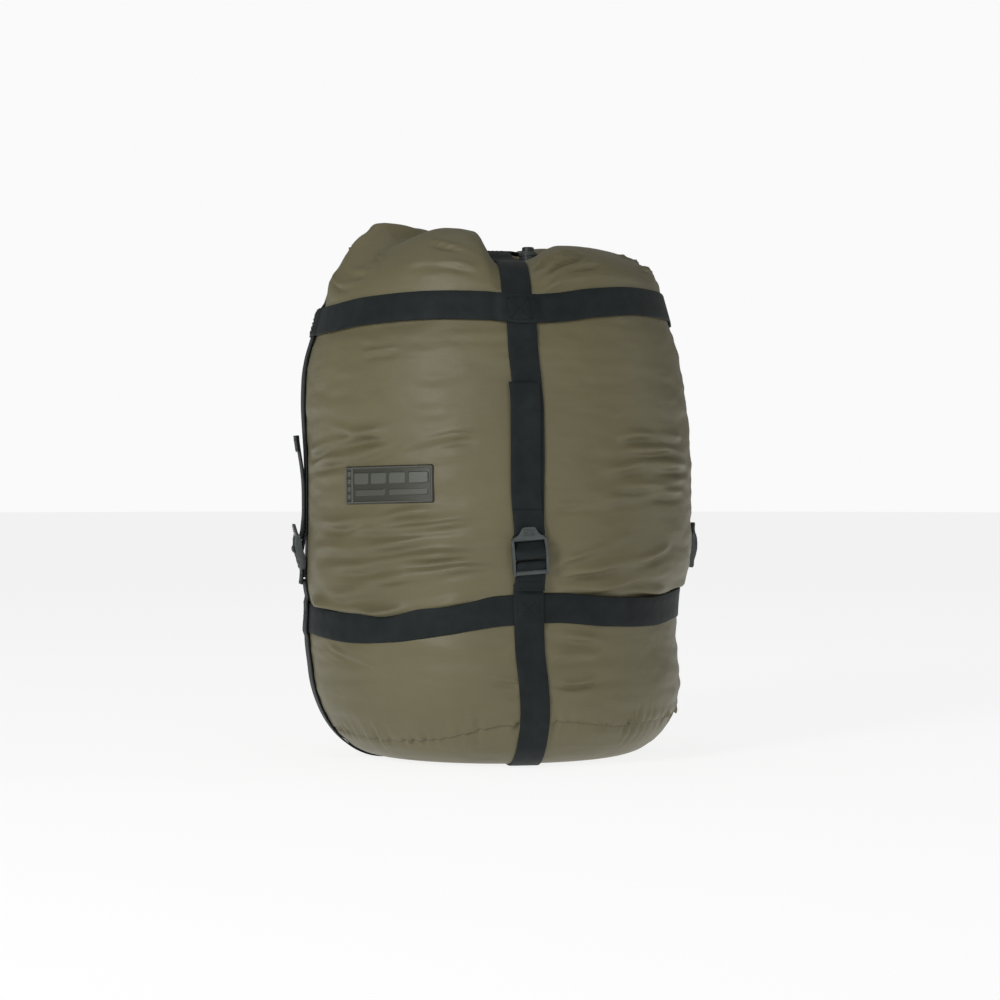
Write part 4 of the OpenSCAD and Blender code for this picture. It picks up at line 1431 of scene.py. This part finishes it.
def cord_lock():
    x, y, _ = at_lock(0, LOCK_REACH, 0)
    low, high = mm_box("cord_lock_barrel")[0][Z], mm_box("cord_lock_barrel")[1][Z]
    top = mm_box("cord_lock_button")[1][Z]
    barrel = Solid()
    barrel.turned([(6.0, low), (7.1, low + 0.5), (7.5, low + 1.6), (7.5, high - 4.4), (8.2, high - 3.8),
                   (8.3, high - 2.2), (7.7, high - 1.4), (7.4, high - 0.3), (6.9, high), (5.5, high),
                   (5.4, high - 1.5), (0.5, high - 1.5)], (x, y))
    for out in (-7.2, 7.2):
        barrel.add(cord_ear(out, 4.4, 2.9), cord_ear(out * 1.12, 4.2, 2.7))
    body = barrel.finish("cord_lock_body", BUCKLE, "sack_top", leaning=True)
    stands_for(body, "buckle_plastic", "cord_lock_barrel")
    button = Solid()
    button.turned([(5.1, high - 1.1), (5.2, top - 1.2), (4.9, top - 0.4), (4.2, top), (3.4, top - 0.5),
                   (0.4, top - 0.8)], (x, y))
    push = button.finish("cord_lock_push", BUTTON, "button", leaning=True)
    stands_for(push, "button_plastic", "cord_lock_button")
    coil = [(x + 3.4 * math.cos(t), y + 3.4 * math.sin(t), low + 2.5 + t * 0.26)
            for t in np.linspace(0, 6 * math.pi, 90)]
    stands_for(tube("cord_lock_coil", coil, 0.35, SPRING, sides=8), "spring_steel", "cord_lock_spring")


# ---- what the sack holds ----

ROLL_SIDES = 96


def packed_roll(name, node, grid, body):
    grid = np.array(grid)
    faces = grid_faces(len(grid), ROLL_SIDES) + cap_faces(len(grid), ROLL_SIDES)
    obj = new_object(name, grid.reshape(-1, 3), faces, QUILT, body)
    stands_for(obj, "packed_bag", node)


def packed_bag():
    """The sleeping bag inside, in two rolls, kept just clear of the skin and of the compressed hoop."""
    degrees = np.arange(ROLL_SIDES) * 360 / ROLL_SIDES
    low_rows = [corner_point(degrees, t) * (0.955, 0.955, 1) + (0, 0, 5) for t in np.linspace(0, 88, 12)]
    hoop_edge = HIGH_HOOP_Z - WEB_W / 2 - SQUEEZE
    for z in np.linspace(CORNER_Z + 6, HIGH_JOINT - SQUEEZE - 4, 24):
        narrow = 0.955 - 0.105 * float(smoothstep(z, hoop_edge - 16, hoop_edge - 2))
        low_rows.append(wall_point(degrees, z) * (narrow, narrow, 1))
    high_rows = [wall_point(degrees, z) * (0.95, 0.95, 1) for z in np.linspace(HIGH_JOINT + 4, HOOP_TOP, 3)]
    high_rows += [np.minimum(top_point(degrees, t) * (0.92, 0.92, 1) - (0, 0, 9), (999, 999, 406))
                  for t in np.linspace(0.1, 0.5, 6)]
    packed_roll("packed_roll_low", "packed_bag_lower", low_rows, "sack_base")
    packed_roll("packed_roll_high", "packed_bag_upper", high_rows, "sack_top")


# ---- build ----

sack_skin()
base_panel()
bottom_strap("bottom_strap_one", "bottom_strap_front_back", "front", "back", 0)
bottom_strap("bottom_strap_two", "bottom_strap_left_right", "right", "left", 1)
top_strap("top_strap_one", "top_strap_front_back", "front", "back", 0)
top_strap("top_strap_two", "top_strap_left_right", "right", "left", 1)
hoop("hoop_low", "lower_hoop", LOW_HOOP_Z, "sack_base", 0)
hoop("hoop_high", "upper_hoop", HIGH_HOOP_Z, "sack_top", 1)
for side in SIDES:
    load_strap(side)
    strap_tail(side)
    anchor_loop(side)
    strap_turn(side)
    ladder_lock(side)
    if side != "front":
        tail_sewing(side)
sewing()
label_patch()
gathered_hem()
mouth_pleats()
drawcord_knot()
drawcord()
cord_lock()
packed_bag()


# ---- floor and light ----

ROOM_R, ROOM_LOW, ROOM_HIGH, ROOM_SIDES = 14, -0.5, 11, 64     # in metres
FLOOR_GLOW, BACKDROP_GLOW, WORLD_GLOW = 0.845, 0.955, 0.2
# Each light's name, place, power, width and height
LIGHTS = [
    ("key", (-1.9, -2.1, 1.2), 46, 0.7, 1.4),
    ("front", (0.6, -2.9, 1.3), 9, 0.35, 1.2),
    ("fill", (2.4, -0.2, 0.8), 5, 0.4, 1.4),
    ("top", (-0.2, 0.3, 2.4), 4, 1.4, 1.4),
]


def floor():
    """A pale floor inside a pale round wall."""
    pale = Nodes("floor", (0.2, 0.2, 0.2), 0.9)
    wall = Nodes("backdrop", (0.0, 0.0, 0.0), 0.9)
    for nodes, glow in ((pale, FLOOR_GLOW), (wall, BACKDROP_GLOW)):
        nodes.shade(Specular_IOR_Level=0.0, Emission_Color=(1, 1, 1, 1), Emission_Strength=glow)
    angles = np.arange(ROOM_SIDES) * math.pi / (ROOM_SIDES / 2)
    ring = [(ROOM_R * math.cos(a), ROOM_R * math.sin(a)) for a in angles]
    low, high = [(x, y, ROOM_LOW) for x, y in ring], [(x, y, ROOM_HIGH) for x, y in ring]
    shapes = {"floor": ([(x, y, 0) for x, y in ring], [tuple(range(ROOM_SIDES))], pale),
              "backdrop": (low + high, grid_faces(2, ROOM_SIDES), wall)}
    for name, (corners, faces, nodes) in shapes.items():
        mesh = bpy.data.meshes.new(name)
        mesh.from_pydata(corners, [], faces)
        obj = bpy.data.objects.new(name, mesh)
        bpy.context.collection.objects.link(obj)
        mesh.materials.append(nodes.material)
    obj.visible_diffuse = False
    obj.visible_glossy = False


def area_light(name, location, energy, width, height, target=(0, 0, 0.23)):
    light = bpy.data.lights.new(name, "AREA")
    light.energy = energy
    light.shape = "RECTANGLE"
    light.size = width
    light.size_y = height
    obj = bpy.data.objects.new(name, light)
    bpy.context.collection.objects.link(obj)
    obj.location = location
    obj.rotation_euler = (Vector(target) - Vector(location)).to_track_quat("-Z", "Y").to_euler()


def lights():
    world = bpy.data.worlds.new("world")
    bpy.context.scene.world = world
    world.use_nodes = True
    background = world.node_tree.nodes["Background"]
    background.inputs["Color"].default_value = (1, 1, 1, 1)
    background.inputs["Strength"].default_value = WORLD_GLOW
    for light in LIGHTS:
        area_light(*light)


floor()
lights()
bpy.context.scene.view_settings.view_transform = "Standard"
